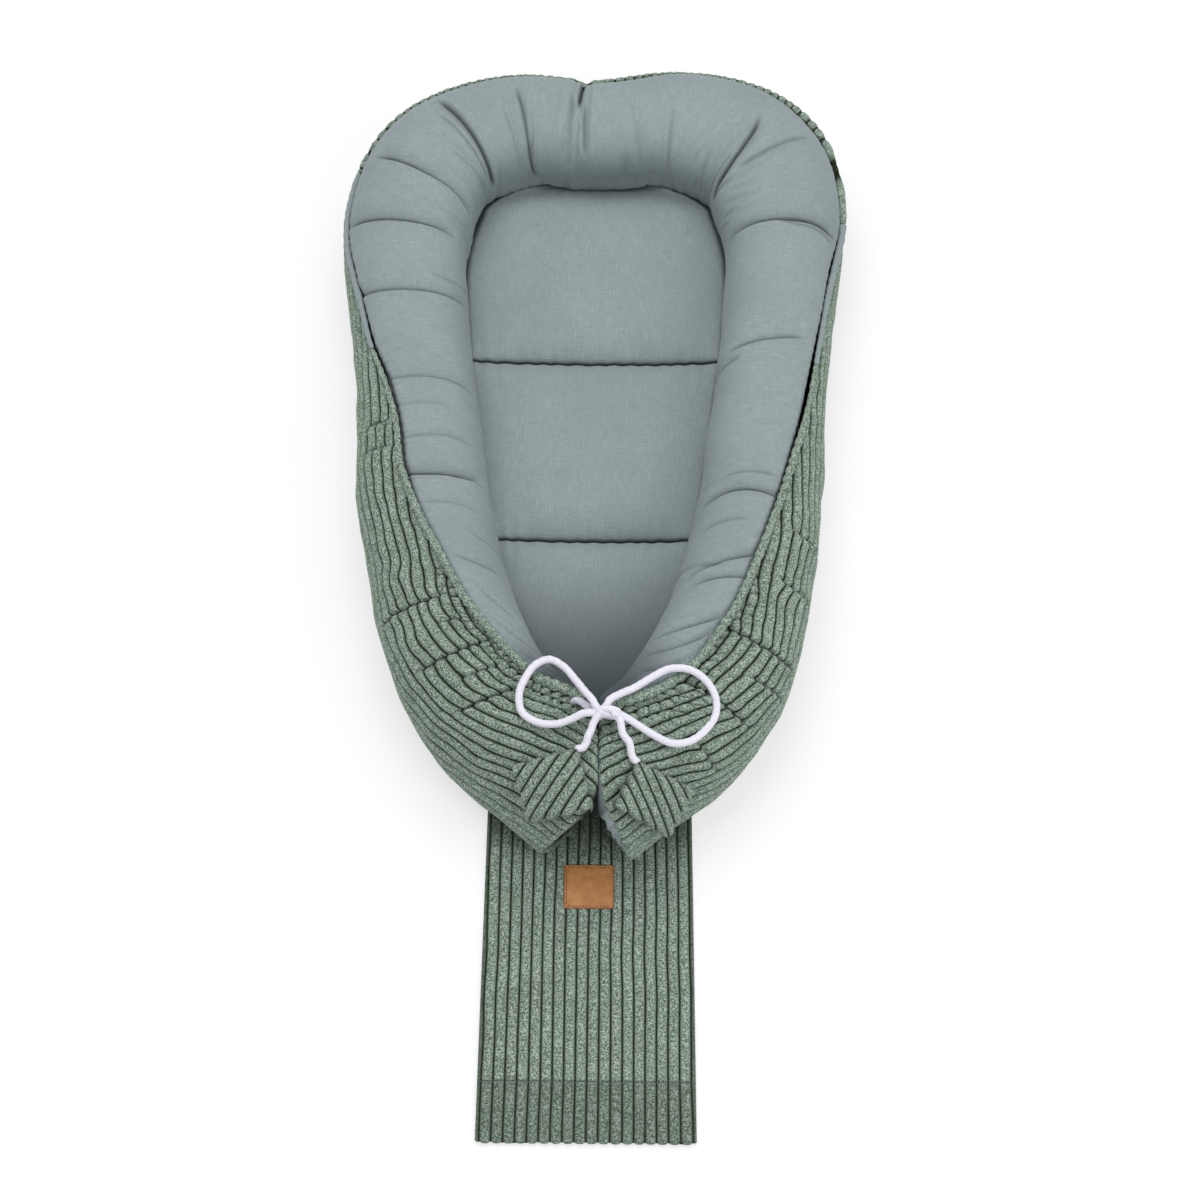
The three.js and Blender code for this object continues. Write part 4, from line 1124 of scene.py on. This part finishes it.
def makeEndFaces():
    # rings from just inside the leg's cloth to the face's middle, with tucks round its edge
    for end, (name, node) in enumerate(endFace["pieces"]):
        angle = np.linspace(0, 360, endFace["around"], endpoint=False)
        ahead = endAhead(end)
        reach = roundEnd(reaches, angle, end) + roundEnd(faceReaches, angle, end)
        ring = rimPoint(np.array(float(end)), angle, endFace["sunkIn"])
        ring = ring + np.maximum(reach, 0)[:, None] * ahead
        middle = ring.mean(axis=0)
        scale = np.linspace(1, 0, endFace["rings"])[:, None]
        wave = np.cos(np.radians(angle) * endFace["tucks"] + 1.5 * cloudy(angle / 23, 0, 41))
        tucks = endFace["tuckDepth"] * wave * np.exp(-(1 - scale) / endFace["tuckReach"])
        lumps = endFace["lumps"] * cloudy(scale * 4, angle / 60, 42) * (1 - scale**2)
        raised = (endFace["bulges"][end] * (1 - scale**2) + tucks + lumps)[..., None] * ahead
        points = middle + (ring - middle)[None] * scale[..., None] + raised
        tucked = ring - (ring - middle) * endFace["narrowed"] - ahead * endFace["inset"]
        points = onOwnSide(np.concatenate([tucked[None], points]), end)
        toParting = np.abs(points[..., 0] - rim["partingPlane"])
        # painted shade in the parting between the legs' ends, high up
        dark = 0.9 * smoothStep(0.005, 0.0015, toParting) * smoothStep(0.02, 0.05, points[..., 2])
        turns = 2 * np.pi * np.linspace(0, 1, endFace["around"] + 1)[None]
        reach = np.append(1.05, scale[:, 0])[:, None]
        uv = endFace["radius"] * stacked(reach * np.cos(turns), reach * np.sin(turns))
        mesh = gridMesh(name, points, middle - ahead * 0.03, uv, ringed=True, depthAndPaintedShade=dark)
        piece = addPiece(name, mesh, cotton, "nest")
        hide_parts(node)


makeEndFaces()
print("end faces made")


# Bed: one padded sheet, sewn down along two seams

bed = {
    "foot": 0.270, "headMargin": -0.003, "seams": (-0.0740, 0.1325), "dip": 0.027, "crown": 0.044,
    "crownPower": 3.0, "channelPower": 6.0, "clearance": 0.0009, "step": 0.0026, "seamStep": 0.0007,
    "seamReach": 0.014, "columns": 112, "grooveDepth": 0.0045, "grooveWidth": 0.0016, "puckerPitch": 0.017,
    "puckerDepth": 0.0009, "puckerReach": 0.016, "tuckedUnder": 1.035, "lumps": (0.0010, 0.0004),
    "least": 0.0035, "turnedUnder": (0, 0.004, -0.006),
}


def edgeAt(angle, clearance):
    # the places along Y, half widths and heights of a line round the rim's inner side, from the foot on
    edge = rimPoint(np.linspace(rimMiddle, 1, 900), angle, clearance)
    order = np.argsort(edge[:, 1])
    return edge[order, 1], edge[order, 0], edge[order, 2]


def bedRows(low, high):
    # even rows, closer beside the seams
    near = [seam + sign * step for seam in bed["seams"] for sign in (-1, 1)
            for step in np.arange(0, bed["seamReach"], bed["seamStep"])]
    even = np.arange(low, high, bed["step"])
    isClear = np.all(np.abs(even[:, None] - np.array(bed["seams"])) > bed["seamReach"], axis=1)
    return np.unique(np.round(np.concatenate([even[isClear], near, [high]]), 6))


def makeBed():
    # between the seams the sheet is as full as its crown, and it comes down to the rim's edge on both sides
    edgeY, edgeX, edgeZ = edgeAt(rim["bedAngle"], bed["clearance"])
    head = edgeY[-1] - bed["headMargin"]
    along = bedRows(-bed["foot"], head)[:, None]
    across = np.sin(np.linspace(-1, 1, bed["columns"]) * np.pi / 2 * 0.97)[None]
    across = across / across.max() * bed["tuckedUnder"]
    width, edge = (np.interp(along, edgeY, values) for values in (edgeX, edgeZ))
    ends = np.array([-bed["foot"], *bed["seams"], head])
    i = np.clip(np.searchsorted(ends, along[:, 0], side="left"), 1, 3)[:, None]
    f = (along - ends[i - 1]) / (ends[i] - ends[i - 1])
    fullness = 1 - np.abs(2 * f - 1)**bed["channelPower"]
    crown = 1 - np.minimum(np.abs(across), 1)**bed["crownPower"]
    floor = edge + (bed["dip"] - edge) * crown
    top = edge + (bed["crown"] - edge) * crown
    x = across * width
    toSeam = np.min(np.abs(along - np.array(bed["seams"])), axis=1)[:, None]
    toHead = head - along
    pull = np.exp(-toSeam / bed["puckerReach"]) + np.exp(-toHead / bed["puckerReach"])
    phase = x / bed["puckerPitch"] + 0.5 * cloudy(x * 30, along * 20, 51)
    wide, fine = bed["lumps"]
    # height: the crown, puckers along the seams, the seams' grooves, lumps, and a drop past the edge
    z = (floor + (top - floor) * fullness + bed["puckerDepth"] * (np.cos(2 * np.pi * phase) - 0.6) * pull
         - bed["grooveDepth"] * np.exp(-toSeam / bed["grooveWidth"]) + wide * cloudy(x * 16, along * 13, 52)
         + fine * cloudy(x * 50, along * 22, 53) - 0.10 * np.maximum(np.abs(across) - 0.99, 0))
    # painted shade in the seams, toward the foot, and under the rim's edge and its head
    dark = np.minimum(0.97 * bell(toSeam / 0.0019) + 0.14 * np.exp(-toSeam / 0.006), 0.97)
    dark = np.maximum(dark, 0.72 * smoothStep(-0.080, -0.250, along))
    dark = np.maximum(dark, 0.75 * smoothStep(0.945, 0.985, np.abs(across)))
    dark = np.maximum(dark, 0.95 * np.exp(-(toHead / 0.0062)**4))
    points = stacked(x, along, np.maximum(z, bed["least"]))
    points = np.concatenate([points, points[-1:] + bed["turnedUnder"]])
    dark = np.concatenate([dark, dark[-1:]])
    mesh = gridMesh("bedSheet", points, (0, 0, -3.0), points[..., :2], depthAndPaintedShade=dark)
    piece = addPiece("bedSheet", mesh, cotton, "nest")
    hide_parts("bed_sheet", "bed_filling_foot", "bed_filling_middle", "bed_filling_head")
    print("bed:", points.shape[:2])


makeBed()


# Base panel: flat cotton under the bed

panel = {
    "foot": 0.2847, "thickness": 0.0024, "angle": 245.0, "clearance": 0.0003, "rows": 150, "columns": 40,
    "topDrop": 0.0006, "bottomRise": 0.0003, "edgePower": 8, "lumps": 0.0002,
}


def slabMesh(name, x, y, top, bottom, middle):
    # a flat strip: columns across its top and back under it; its UV map is X and Y
    heights = np.concatenate([top, bottom[:, ::-1]], axis=1)
    points = stacked(np.concatenate([x, x[:, ::-1]], axis=1), y, heights)
    uv = np.concatenate([points[..., :2], points[:, :1, :2]], axis=1)
    return gridMesh(name, points, stacked(0, y, middle), uv, ringed=True)


def makePanel():
    edgeY, edgeX = edgeAt(panel["angle"], panel["clearance"])[:2]
    turn = np.linspace(0, np.pi / 2, panel["rows"])
    y = (-panel["foot"] + (edgeY.max() + panel["foot"]) * np.sin(turn))[:, None]
    across = np.linspace(-1, 1, panel["columns"])[None]
    x = across * np.interp(y, edgeY, edgeX)
    atEdge = np.abs(across)**panel["edgePower"]
    top = panel["thickness"] - panel["topDrop"] * atEdge + panel["lumps"] * cloudy(x * 20, y * 20, 61)
    bottom = panel["bottomRise"] * atEdge + 0 * x
    mesh = slabMesh("basePanel", x, y, top, bottom, panel["thickness"] / 2)
    piece = addPiece("basePanel", mesh, cotton, "nest")
    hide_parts("base_panel")


makePanel()
print("base panel made")


# Flap: one strip of corduroy from under the toes to its turned hem, lined in front with cotton

flap = {
    "start": 0.285, "reach": 0.681, "fold": 0.407, "halfWidth": 0.0952, "flare": 0.0040, "ribs": 18,
    "sideTurn": 0.962, "sideMiddle": 0.978, "sideHalf": 0.022, "base": 0.0028, "ribHeight": 0.0021,
    "bottom": 0.0016, "hem": 0.624, "hemStep": 0.0009, "hemRise": 0.0004, "hemDrop": 0.0005,
    "lumps": (0.0004, 0.0003), "step": 0.0030, "topColumns": 253, "bottomColumns": 30, "tipReach": 0.0030,
    "tipRows": (0, 0.0003, 0.0008, 0.0015, 0.0024), "edgeRadius": 0.0022, "middle": 0.0018,
    "hemBottom": 0.0003, "foldFrom": 0.400, "foldTo": 0.414, "foldHeight": 0.004,
    "shadeFrom": -0.405, "shadeTo": -0.370,
}


def flapWidth(y):
    return flap["halfWidth"] + flap["flare"] * (-y - flap["start"]) / (flap["reach"] - flap["start"])


def flapTop(x, y):
    # height of the corduroy's top: ribs, flatter turned sides, and pressed down along the hem's seam
    across = x / flapWidth(y)
    phase = (across / flap["sideTurn"] + 1) / 2 * flap["ribs"] + 0.06 * cloudy(x * 30, y * 24, 71)
    isSide = smoothStep(flap["sideTurn"] - 0.004, flap["sideTurn"] + 0.004, np.abs(across))
    sideTop = 1 - ((np.abs(across) - flap["sideMiddle"]) / flap["sideHalf"])**2
    ridge = ribRidge(phase) * (1 - isSide) + 0.55 * isSide * sideTop
    atHem = bell((y + flap["hem"]) / flap["hemStep"])
    ridge = ridge * (1 - 0.75 * atHem)
    isTurned = smoothStep(-flap["hem"] + 0.001, -flap["hem"] - 0.004, y)
    wide, fine = flap["lumps"]
    wave = wide * (1 + cloudy(x * 12, y * 9, 72)) + fine * cloudy(x / cover["ribPitch"], y * 60, 73)
    top = flap["base"] + flap["ribHeight"] * ridge + wave + flap["hemRise"] * isTurned
    return top - flap["hemDrop"] * atHem, phase, ridge


def makeFlap():
    # closer rows at the hem's seam and at the turned end; the columns go across the top and back below
    y = -np.unique(np.concatenate([
        np.arange(flap["start"], flap["reach"], flap["step"]), flap["hem"] + np.linspace(-0.003, 0.003, 13),
        flap["reach"] - np.array(flap["tipRows"])]))[:, None]
    across = np.linspace(-1, 1, flap["topColumns"])[None]
    x = across * flapWidth(y)
    top, phase, ridge = flapTop(x, y)
    toTip = flap["reach"] + y
    toEdge = np.minimum(toTip, (1 - np.abs(across)) * flap["halfWidth"]) / flap["edgeRadius"]
    rounded = np.where(toEdge < 1, np.sqrt(np.clip(1 - (1 - toEdge)**2, 0, 1)), 1)
    top = flap["middle"] + (top - flap["middle"]) * rounded
    tip = y - flap["tipReach"] * (ridge - 0.5) * smoothStep(0.004, 0, toTip)
    low = np.linspace(1, -1, flap["bottomColumns"] + 2)[None, 1:-1]
    toHem = np.abs(y + flap["hem"] - 0.002) + 0.012 * (y > -flap["hem"])
    lowZ = flap["bottom"] * smoothStep(0.0, 0.012, toHem)
    lowZ = np.where(y < -flap["hem"], flap["hemBottom"], lowZ)
    lowZ = np.where(toTip < flap["tipRows"][1], flap["middle"], lowZ)
    points = np.concatenate([stacked(x, tip, top), stacked(low * flapWidth(y), y, lowZ)], axis=1)
    lowPhase = (low / flap["sideTurn"] + 1) / 2 * flap["ribs"] + 0 * y
    phases = np.concatenate([phase, lowPhase, phase[:, :1]], axis=1)
    uv = stacked(phases, y / cover["ribPitch"])
    # painted shade along the turned sides, the hem's seam and the turned end, under the toes, and on the
    # underside
    dark = 0.55 * smoothStep(flap["sideTurn"] - 0.006, flap["sideTurn"] + 0.002, np.abs(across))
    dark = np.maximum(dark, 0.30 * smoothStep(-flap["hem"] + 0.002, -flap["hem"] - 0.003, y))
    dark = np.maximum(dark, 0.45 * bell((y + flap["hem"]) / 0.0010))
    dark = np.maximum(dark, 0.5 * smoothStep(flap["shadeFrom"], flap["shadeTo"], y))
    dark = np.concatenate([dark, 0.6 + 0 * (low + y)], axis=1)
    mesh = gridMesh("flapCorduroy", points, stacked(0, y, flap["middle"]), uv, ringed=True, depthAndPaintedShade=dark)
    piece = addPiece("flapCorduroy", mesh, corduroy, None)
    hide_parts("flap_root", "flap_front", "flap_hem")
    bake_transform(piece)
    print("flap:", points.shape[:2])


backing = {
    "rows": 90, "columns": 60, "margin": 0.0003, "sideMargin": 0.0008, "top": 0.0013, "middle": 0.0007,
    "lumps": 0.0002,
}


def makeFlapLining():
    low, high = flap["fold"] + backing["margin"], flap["hem"] - backing["margin"]
    y = -np.linspace(low, high, backing["rows"])[:, None]
    x = np.linspace(-1, 1, backing["columns"])[None] * (flapWidth(y) - backing["sideMargin"])
    bottom = np.maximum(backing["lumps"] * (1 + cloudy(x * 25, y * 20, 75)), 0)
    mesh = slabMesh("flapLining", x, y, backing["top"] + 0 * x, bottom, backing["middle"])
    piece = addPiece("flapLining", mesh, cotton, "flap")
    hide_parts("flap_backing")


makeFlapLining()
makeFlap()


# Stitches: short round-ended dashes of thread, each along its own direction

def stitchMesh(name, places, headings, length, radius):
    # every stitch is the same small spindle, its middle raised and its ends sunk into the cloth
    run = np.linspace(-1, 1, 7)
    angle = np.linspace(0, 2 * np.pi, 6, endpoint=False)
    swell = radius * np.sqrt(np.maximum(1 - run**4, 0.02))
    heading = unit(np.array(headings, float))[:, None, None]
    up = np.array([0, 0, 1.0])
    side = np.cross(heading, up)
    spine = places[:, None, None] + heading * (run * length / 2)[None, :, None, None]
    spine = spine - up * (0.8 * radius * run**2)[None, :, None, None]
    ring = side * np.cos(angle)[None, None, :, None] + up * np.sin(angle)[None, None, :, None]
    points = spine + ring * swell[None, :, None, None]
    count, rows, columns = points.shape[:3]
    index = np.arange(rows * columns).reshape(rows, columns)
    index = np.hstack([index, index[:, :1]])
    quads = [index[:-1, :-1], index[:-1, 1:], index[1:, 1:], index[1:, :-1]]
    quads = np.stack(quads, axis=-1).reshape(-1, 4)
    faces = (quads[None] + (np.arange(count) * rows * columns)[:, None, None]).reshape(-1, 4)
    mesh = bpy.data.meshes.new(name)
    mesh.from_pydata(points.reshape(-1, 3).tolist(), [], faces.tolist())
    work = bmesh.new()
    work.from_mesh(mesh)
    bmesh.ops.holes_fill(work, edges=work.edges)
    bmesh.ops.recalc_face_normals(work, faces=work.faces)
    work.to_mesh(mesh)
    work.free()
    mesh.polygons.foreach_set("use_smooth", np.ones(len(mesh.polygons), dtype=bool))
    return mesh


hemStitch = {"half": 0.096, "pitch": 0.0040, "length": 0.0029, "radius": 0.00035, "rise": 0.0002}


def makeHemStitches():
    x = np.arange(-hemStitch["half"], hemStitch["half"] + 0.0001, hemStitch["pitch"])
    places = stacked(x, -flap["hem"], flapTop(x, -flap["hem"])[0] + hemStitch["rise"])
    headings = [(1, 0, 0)] * len(x)
    mesh = stitchMesh("hemStitches", places, headings, hemStitch["length"], hemStitch["radius"])
    addPiece("hemStitches", mesh, cottonThread, "flap")


makeHemStitches()


# Leather patch, sewn on bare

label = {
    "width": 0.047, "height": 0.045, "place": (0.0, -0.4325), "bottom": 0.0048, "top": 0.0064,
    "middle": 0.0056, "squarePower": 14, "pressed": 0.0004, "pressedWidth": 0.0007,
    "edgeDrop": 0.0007, "lumps": 0.0002,
    "stitchInset": 0.0028, "stitchPitch": 0.0033, "stitchLength": 0.0024, "stitchRadius": 0.00033,
    "stitchSink": 0.0002,
}


def patchStitches():
    # rows of stitches inside the four edges: their places and headings
    places, headings = [], []
    sizes = np.array([label["width"], label["height"]])
    for axis in (0, 1):
        count = int(2 * (sizes[axis] / 2 - label["stitchInset"]) / label["stitchPitch"])
        at = (np.arange(count) - (count - 1) / 2) * label["stitchPitch"]
        for side in (-1, 1):
            across = side * (sizes[1 - axis] / 2 - label["stitchInset"])
            flat = stacked(at, across) if axis == 0 else stacked(across, at)
            flat = flat + label["place"]
            places.append(stacked(flat[:, 0], flat[:, 1], label["top"] - label["stitchSink"]))
            headings.append(np.tile([1 - axis, axis, 0], (count, 1)))
    return np.concatenate(places), np.concatenate(headings)


def makeLabel():
    # rings of a rounded square from the middle of the top, over the edge, to the middle of the bottom
    outward = np.concatenate([np.linspace(0, 0.93, 22), np.linspace(0.95, 1, 6)])
    scale = np.concatenate([outward, np.linspace(1, 0.94, 4), np.linspace(0.8, 0, 6)])[:, None]
    angle = np.linspace(0, 2 * np.pi, 160, endpoint=False)[None]
    reach = squareReach(np.cos(angle), np.sin(angle), label["squarePower"])
    x = scale * reach * np.cos(angle) * label["width"] / 2
    y = scale * reach * np.sin(angle) * label["height"] / 2
    isTop = (np.arange(len(scale)) < len(outward))[:, None]
    edge = np.maximum(np.abs(x) / label["width"], np.abs(y) / label["height"]) * 2
    inset = (1 - edge) * label["width"] / 2
    pressed = label["pressed"] * bell((inset - label["stitchInset"]) / label["pressedWidth"])
    bend = label["lumps"] * (np.sin(x * 400) + cloudy(x * 60, y * 60, 81))
    high = label["top"] - label["edgeDrop"] * smoothStep(0.955, 1.0, edge) - pressed + bend
    low = label["bottom"] + bend + label["lumps"] * smoothStep(0.95, 1.0, edge)
    points = stacked(x + label["place"][0], y + label["place"][1], np.where(isTop, high, low))
    closing = np.concatenate([points, points[:, :1]], axis=1)
    uv = (closing[..., :2] - label["place"]) / (label["width"], label["height"]) + 0.5
    mesh = gridMesh("leatherPatch", points, np.array([*label["place"], label["middle"]]), uv, ringed=True)
    piece = addPiece("leatherPatch", mesh, leather, "flap")
    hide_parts("label")
    mesh = stitchMesh("patchStitches", *patchStitches(), label["stitchLength"], label["stitchRadius"])
    addPiece("patchStitches", mesh, leatherThread, "flap")


makeLabel()
print("flap, hem and patch made")


# Tabs on the cord's ends: padded squares of corduroy that hang from one corner, ribs down the diagonal

tabs = {
    "ribs": 8, "ribPower": 3.8, "ribHeight": 0.0028, "fabric": 0.0026, "middle": 0.0102,
    "puffs": (0.0046, 0.0024), "rows": 60, "perRib": 14, "scallop": 0.055, "slopePower": 1.08,
    "lumps": 0.0006,
    # place on the leg as polynomials in the share across s and the row down r, with the terms 1, r, s, s r,
    # r r and s s: metres along from the leg's end, and degrees round it; rows of the corners at s = 1 and -1
    "left": {"side": -1, "along": (0.00529, -0.0140, 0.04161, 0.00544, 0.01279, -0.00072),
             "angle": (72.6, -55.3, -1.33, -1.35, -6.78, 2.37), "corners": (0.547, 0.473)},
    "right": {"side": 1, "along": (0.02551, -0.01957, 0.03528, 0.00725, 0.01326, -0.00121),
              "angle": (53.25, -43.9, -1.3, -6.52, -23.19, 0.96), "corners": (0.567, 0.373)},
}


def besideLeg(side, along, angle, grow):
    # beside a leg: along it from its end, round it, and clear of it; below the centre line straight down
    value, ahead = rimAt(1 - np.maximum(along, 0) / rim["length"])
    past = np.maximum(-along, 0)
    x, y, wide, tall, lift, lean = (value[..., k] for k in range(6))
    level = np.radians(np.maximum(angle, 0))
    across, upward = np.cos(level), np.sin(level)
    reach = squareReach(across, upward, rim["sectionPower"])
    up = (tall + grow) * upward * reach
    drop = (tall + grow) * np.radians(np.minimum(angle, 0))
    out = (wide + grow) * across * reach - lean * (up / tall) - lean * (drop / tall)
    return stacked(side * (x + ahead[..., 0] * past - ahead[..., 1] * out),
                   y + ahead[..., 1] * past + ahead[..., 0] * out,
                   tall + np.maximum(lift, 0) - rim["flat"] + up + drop)


def makeTab(side):
    # a kite in shares across and rows down, its edges scalloped by the ribs' ends
    tab = tabs[side]
    share = np.linspace(-1, 1, tabs["ribs"] * tabs["perRib"] + 1)[:, None]
    rib = (share + 1) / 2 * tabs["ribs"]
    ridge = 1 - fromMiddle(rib)**tabs["ribPower"]
    corner = np.where(share > 0, *tab["corners"])
    slope = np.abs(share)**tabs["slopePower"]
    # the scallops lie within the outline: none at the two corners in the middle, where ribs meet in a point
    bump = tabs["scallop"] * fromMiddle(rib)**2 * smoothStep(0.0, 0.10, np.abs(share))
    highest = corner * slope + bump
    lowest = np.maximum(1 - (1 - corner) * slope - bump, highest + 0.02)
    t = np.sin(np.linspace(-1, 1, tabs["rows"]) * np.pi / 2)[None] * 0.5 + 0.5
    row = highest + (lowest - highest) * t
    fullness = (1 - (2 * t - 1)**6) * (1 - np.abs(share)**8)
    roundness = np.sqrt(np.clip(1 - (2 * t - 1)**8, 0, 1)) * np.sqrt(np.clip(1 - np.abs(share)**24, 0, 1))

    def placed(terms):
        parts = (1, row, share, share * row, row**2, share**2)
        return sum(term * part for term, part in zip(terms, parts))

    def face(sign, puff):
        thick = puff * fullness + (tabs["fabric"] + tabs["ribHeight"] * (ridge - 0.75)) * roundness
        thick = thick + tabs["lumps"] * cloudy(share * 5, row * 9, 91 + sign) * roundness
        along, angle = placed(tab["along"]), placed(tab["angle"])
        return besideLeg(tab["side"], along, angle, tabs["middle"] + sign * thick)

    points = np.concatenate([face(1, tabs["puffs"][0]), face(-1, tabs["puffs"][1])[:, ::-1]], axis=1)
    # painted shade along the tab's edge, where its seam turns under, and over its back
    seam = 0.85 * (1 - roundness)
    dark = np.concatenate([seam, 0.5 + 0 * seam], axis=1)
    rows = np.concatenate([row, row[:, ::-1], row[:, :1]], axis=1)
    inside = points.mean(axis=1, keepdims=True)
    name = "tab" + side.capitalize()
    mesh = gridMesh(name, points, inside, stacked(rib, rows * 8), ringed=True, depthAndPaintedShade=dark)
    piece = addPiece(name, mesh, corduroy, "leaf_" + side)
    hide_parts(*(f"leaf_{side}_{layer}" for layer in ("front", "back", "filling")))
    return piece


tabLeft, tabRight = makeTab("left"), makeTab("right")
print("tabs made")


# The cords, made after the knot and the tabs that are on them

bowKnot = makeKnot()
makeCord("cordLeft", [
    *cords["leadLeft"], *knotPort(-0.6, 0.4, -0.7)[::-1], *throughKnot(0, -0.001, -0.002),
    *knotPort(1, -0.05, -0.05), *cords["loopRight"][::-1], *knotPort(0.5, 0.85, 0.1)[::-1],
    *throughKnot(0, 0, 0.002), *knotPort(-0.5, -0.8, -0.3), *cords["tailLeft"],
], ["cord_lead_left", "bow_loop_right", "cord_tail_left"])
makeCord("cordRight", [
    *cords["leadRight"], *throughKnot(0.001, 0.001, -0.003), *knotPort(-1, -0.05, 0),
    *cords["loopLeft"][::-1], *knotPort(-0.5, 0.85, 0.1)[::-1],
    *throughKnot(0, 0, 0.003), *knotPort(1.0, -0.25, -0.10), *cords["tailRight"],
], ["cord_lead_right", "bow_loop_left", "cord_tail_right"])
print("cords made")


# Studio

studio = {
    "floor": (0.96, 0.96, 0.96, 1), "white": (1, 1, 1, 1), "whiter": 0.6, "world": 0.56, "half": 6.0,
    "level": -0.001,
    # name, place, target, width and height, watts
    "lights": [("softboxAbove", (-0.5, 0.6, 2.6), (0, 0, 0), (2.4, 2.0), 32),
               ("softboxFront", (1.3, -2.4, 2.1), (0, -0.1, 0), (2.0, 1.6), 23),
               ("softboxHead", (0.1, 0.75, 1.5), (0.02, 0.33, 0.1), (1.0, 0.6), 4),
               ("softboxRight", (1.1, -0.7, 0.9), (0.1, -0.40, 0.05), (0.7, 0.7), 2.4)],
}


def addArea(name, place, target, size, power):
    data = bpy.data.lights.new(name, "AREA")
    data.shape = "RECTANGLE"
    data.size, data.size_y = size
    data.energy = power
    light = bpy.data.objects.new(name, data)
    away = Vector(place) - Vector(target)
    light.matrix_world = Matrix.Translation(place) @ away.to_track_quat("Z", "Y").to_matrix().to_4x4()
    bpy.context.scene.collection.objects.link(light)


def makeWorld(scene):
    # white to the camera and in reflections, dimmer as light
    world = bpy.data.worlds.new("studio")
    scene.world = world
    world.use_nodes = True
    tree = world.node_tree
    tree.nodes.clear()
    rays = addNode(tree, "LightPath").outputs
    mirrored = maths(tree, "MAXIMUM", rays["Is Glossy Ray"], rays["Is Transmission Ray"])
    seen = maths(tree, "MAXIMUM", rays["Is Camera Ray"], mirrored)
    strength = mapRange(tree, seen, 0.0, 1.0, studio["world"], 1.0)
    background = addNode(tree, "Background", {"Color": studio["white"], "Strength": strength})
    addNode(tree, "OutputWorld", {0: background.outputs[0]})


def makeFloor(scene):
    # the floor glows a little to the camera, so that it looks as white as the photograph's
    half, level = studio["half"], studio["level"]
    mesh = bpy.data.meshes.new("floor")
    corners = [(x * half, y * half, level) for x, y in ((-1, -1), (1, -1), (1, 1), (-1, 1))]
    mesh.from_pydata(corners, [], [(0, 1, 2, 3)])
    material, tree, shader = newMaterial("floor")
    plug(tree, shader, {"Base Color": studio["floor"], "Roughness": 0.9, "Specular IOR Level": 0.1})
    glow = addNode(tree, "Emission", {"Color": studio["white"], "Strength": 1.0})
    seen = addNode(tree, "LightPath").outputs["Is Camera Ray"]
    whiter = maths(tree, "MULTIPLY", seen, studio["whiter"])
    mixed = addNode(tree, "MixShader", {0: whiter, 1: shader.outputs[0], 2: glow.outputs[0]})
    output = next(node for node in tree.nodes if node.bl_idname == "ShaderNodeOutputMaterial")
    plug(tree, output, {"Surface": mixed.outputs[0]})
    mesh.materials.append(material)
    stage = bpy.data.objects.new("floor", mesh)
    scene.collection.objects.link(stage)


def makeStudio():
    scene = bpy.context.scene
    scene.view_settings.view_transform = "Standard"
    makeWorld(scene)
    makeFloor(scene)
    for light in studio["lights"]:
        addArea(*light)


makeStudio()
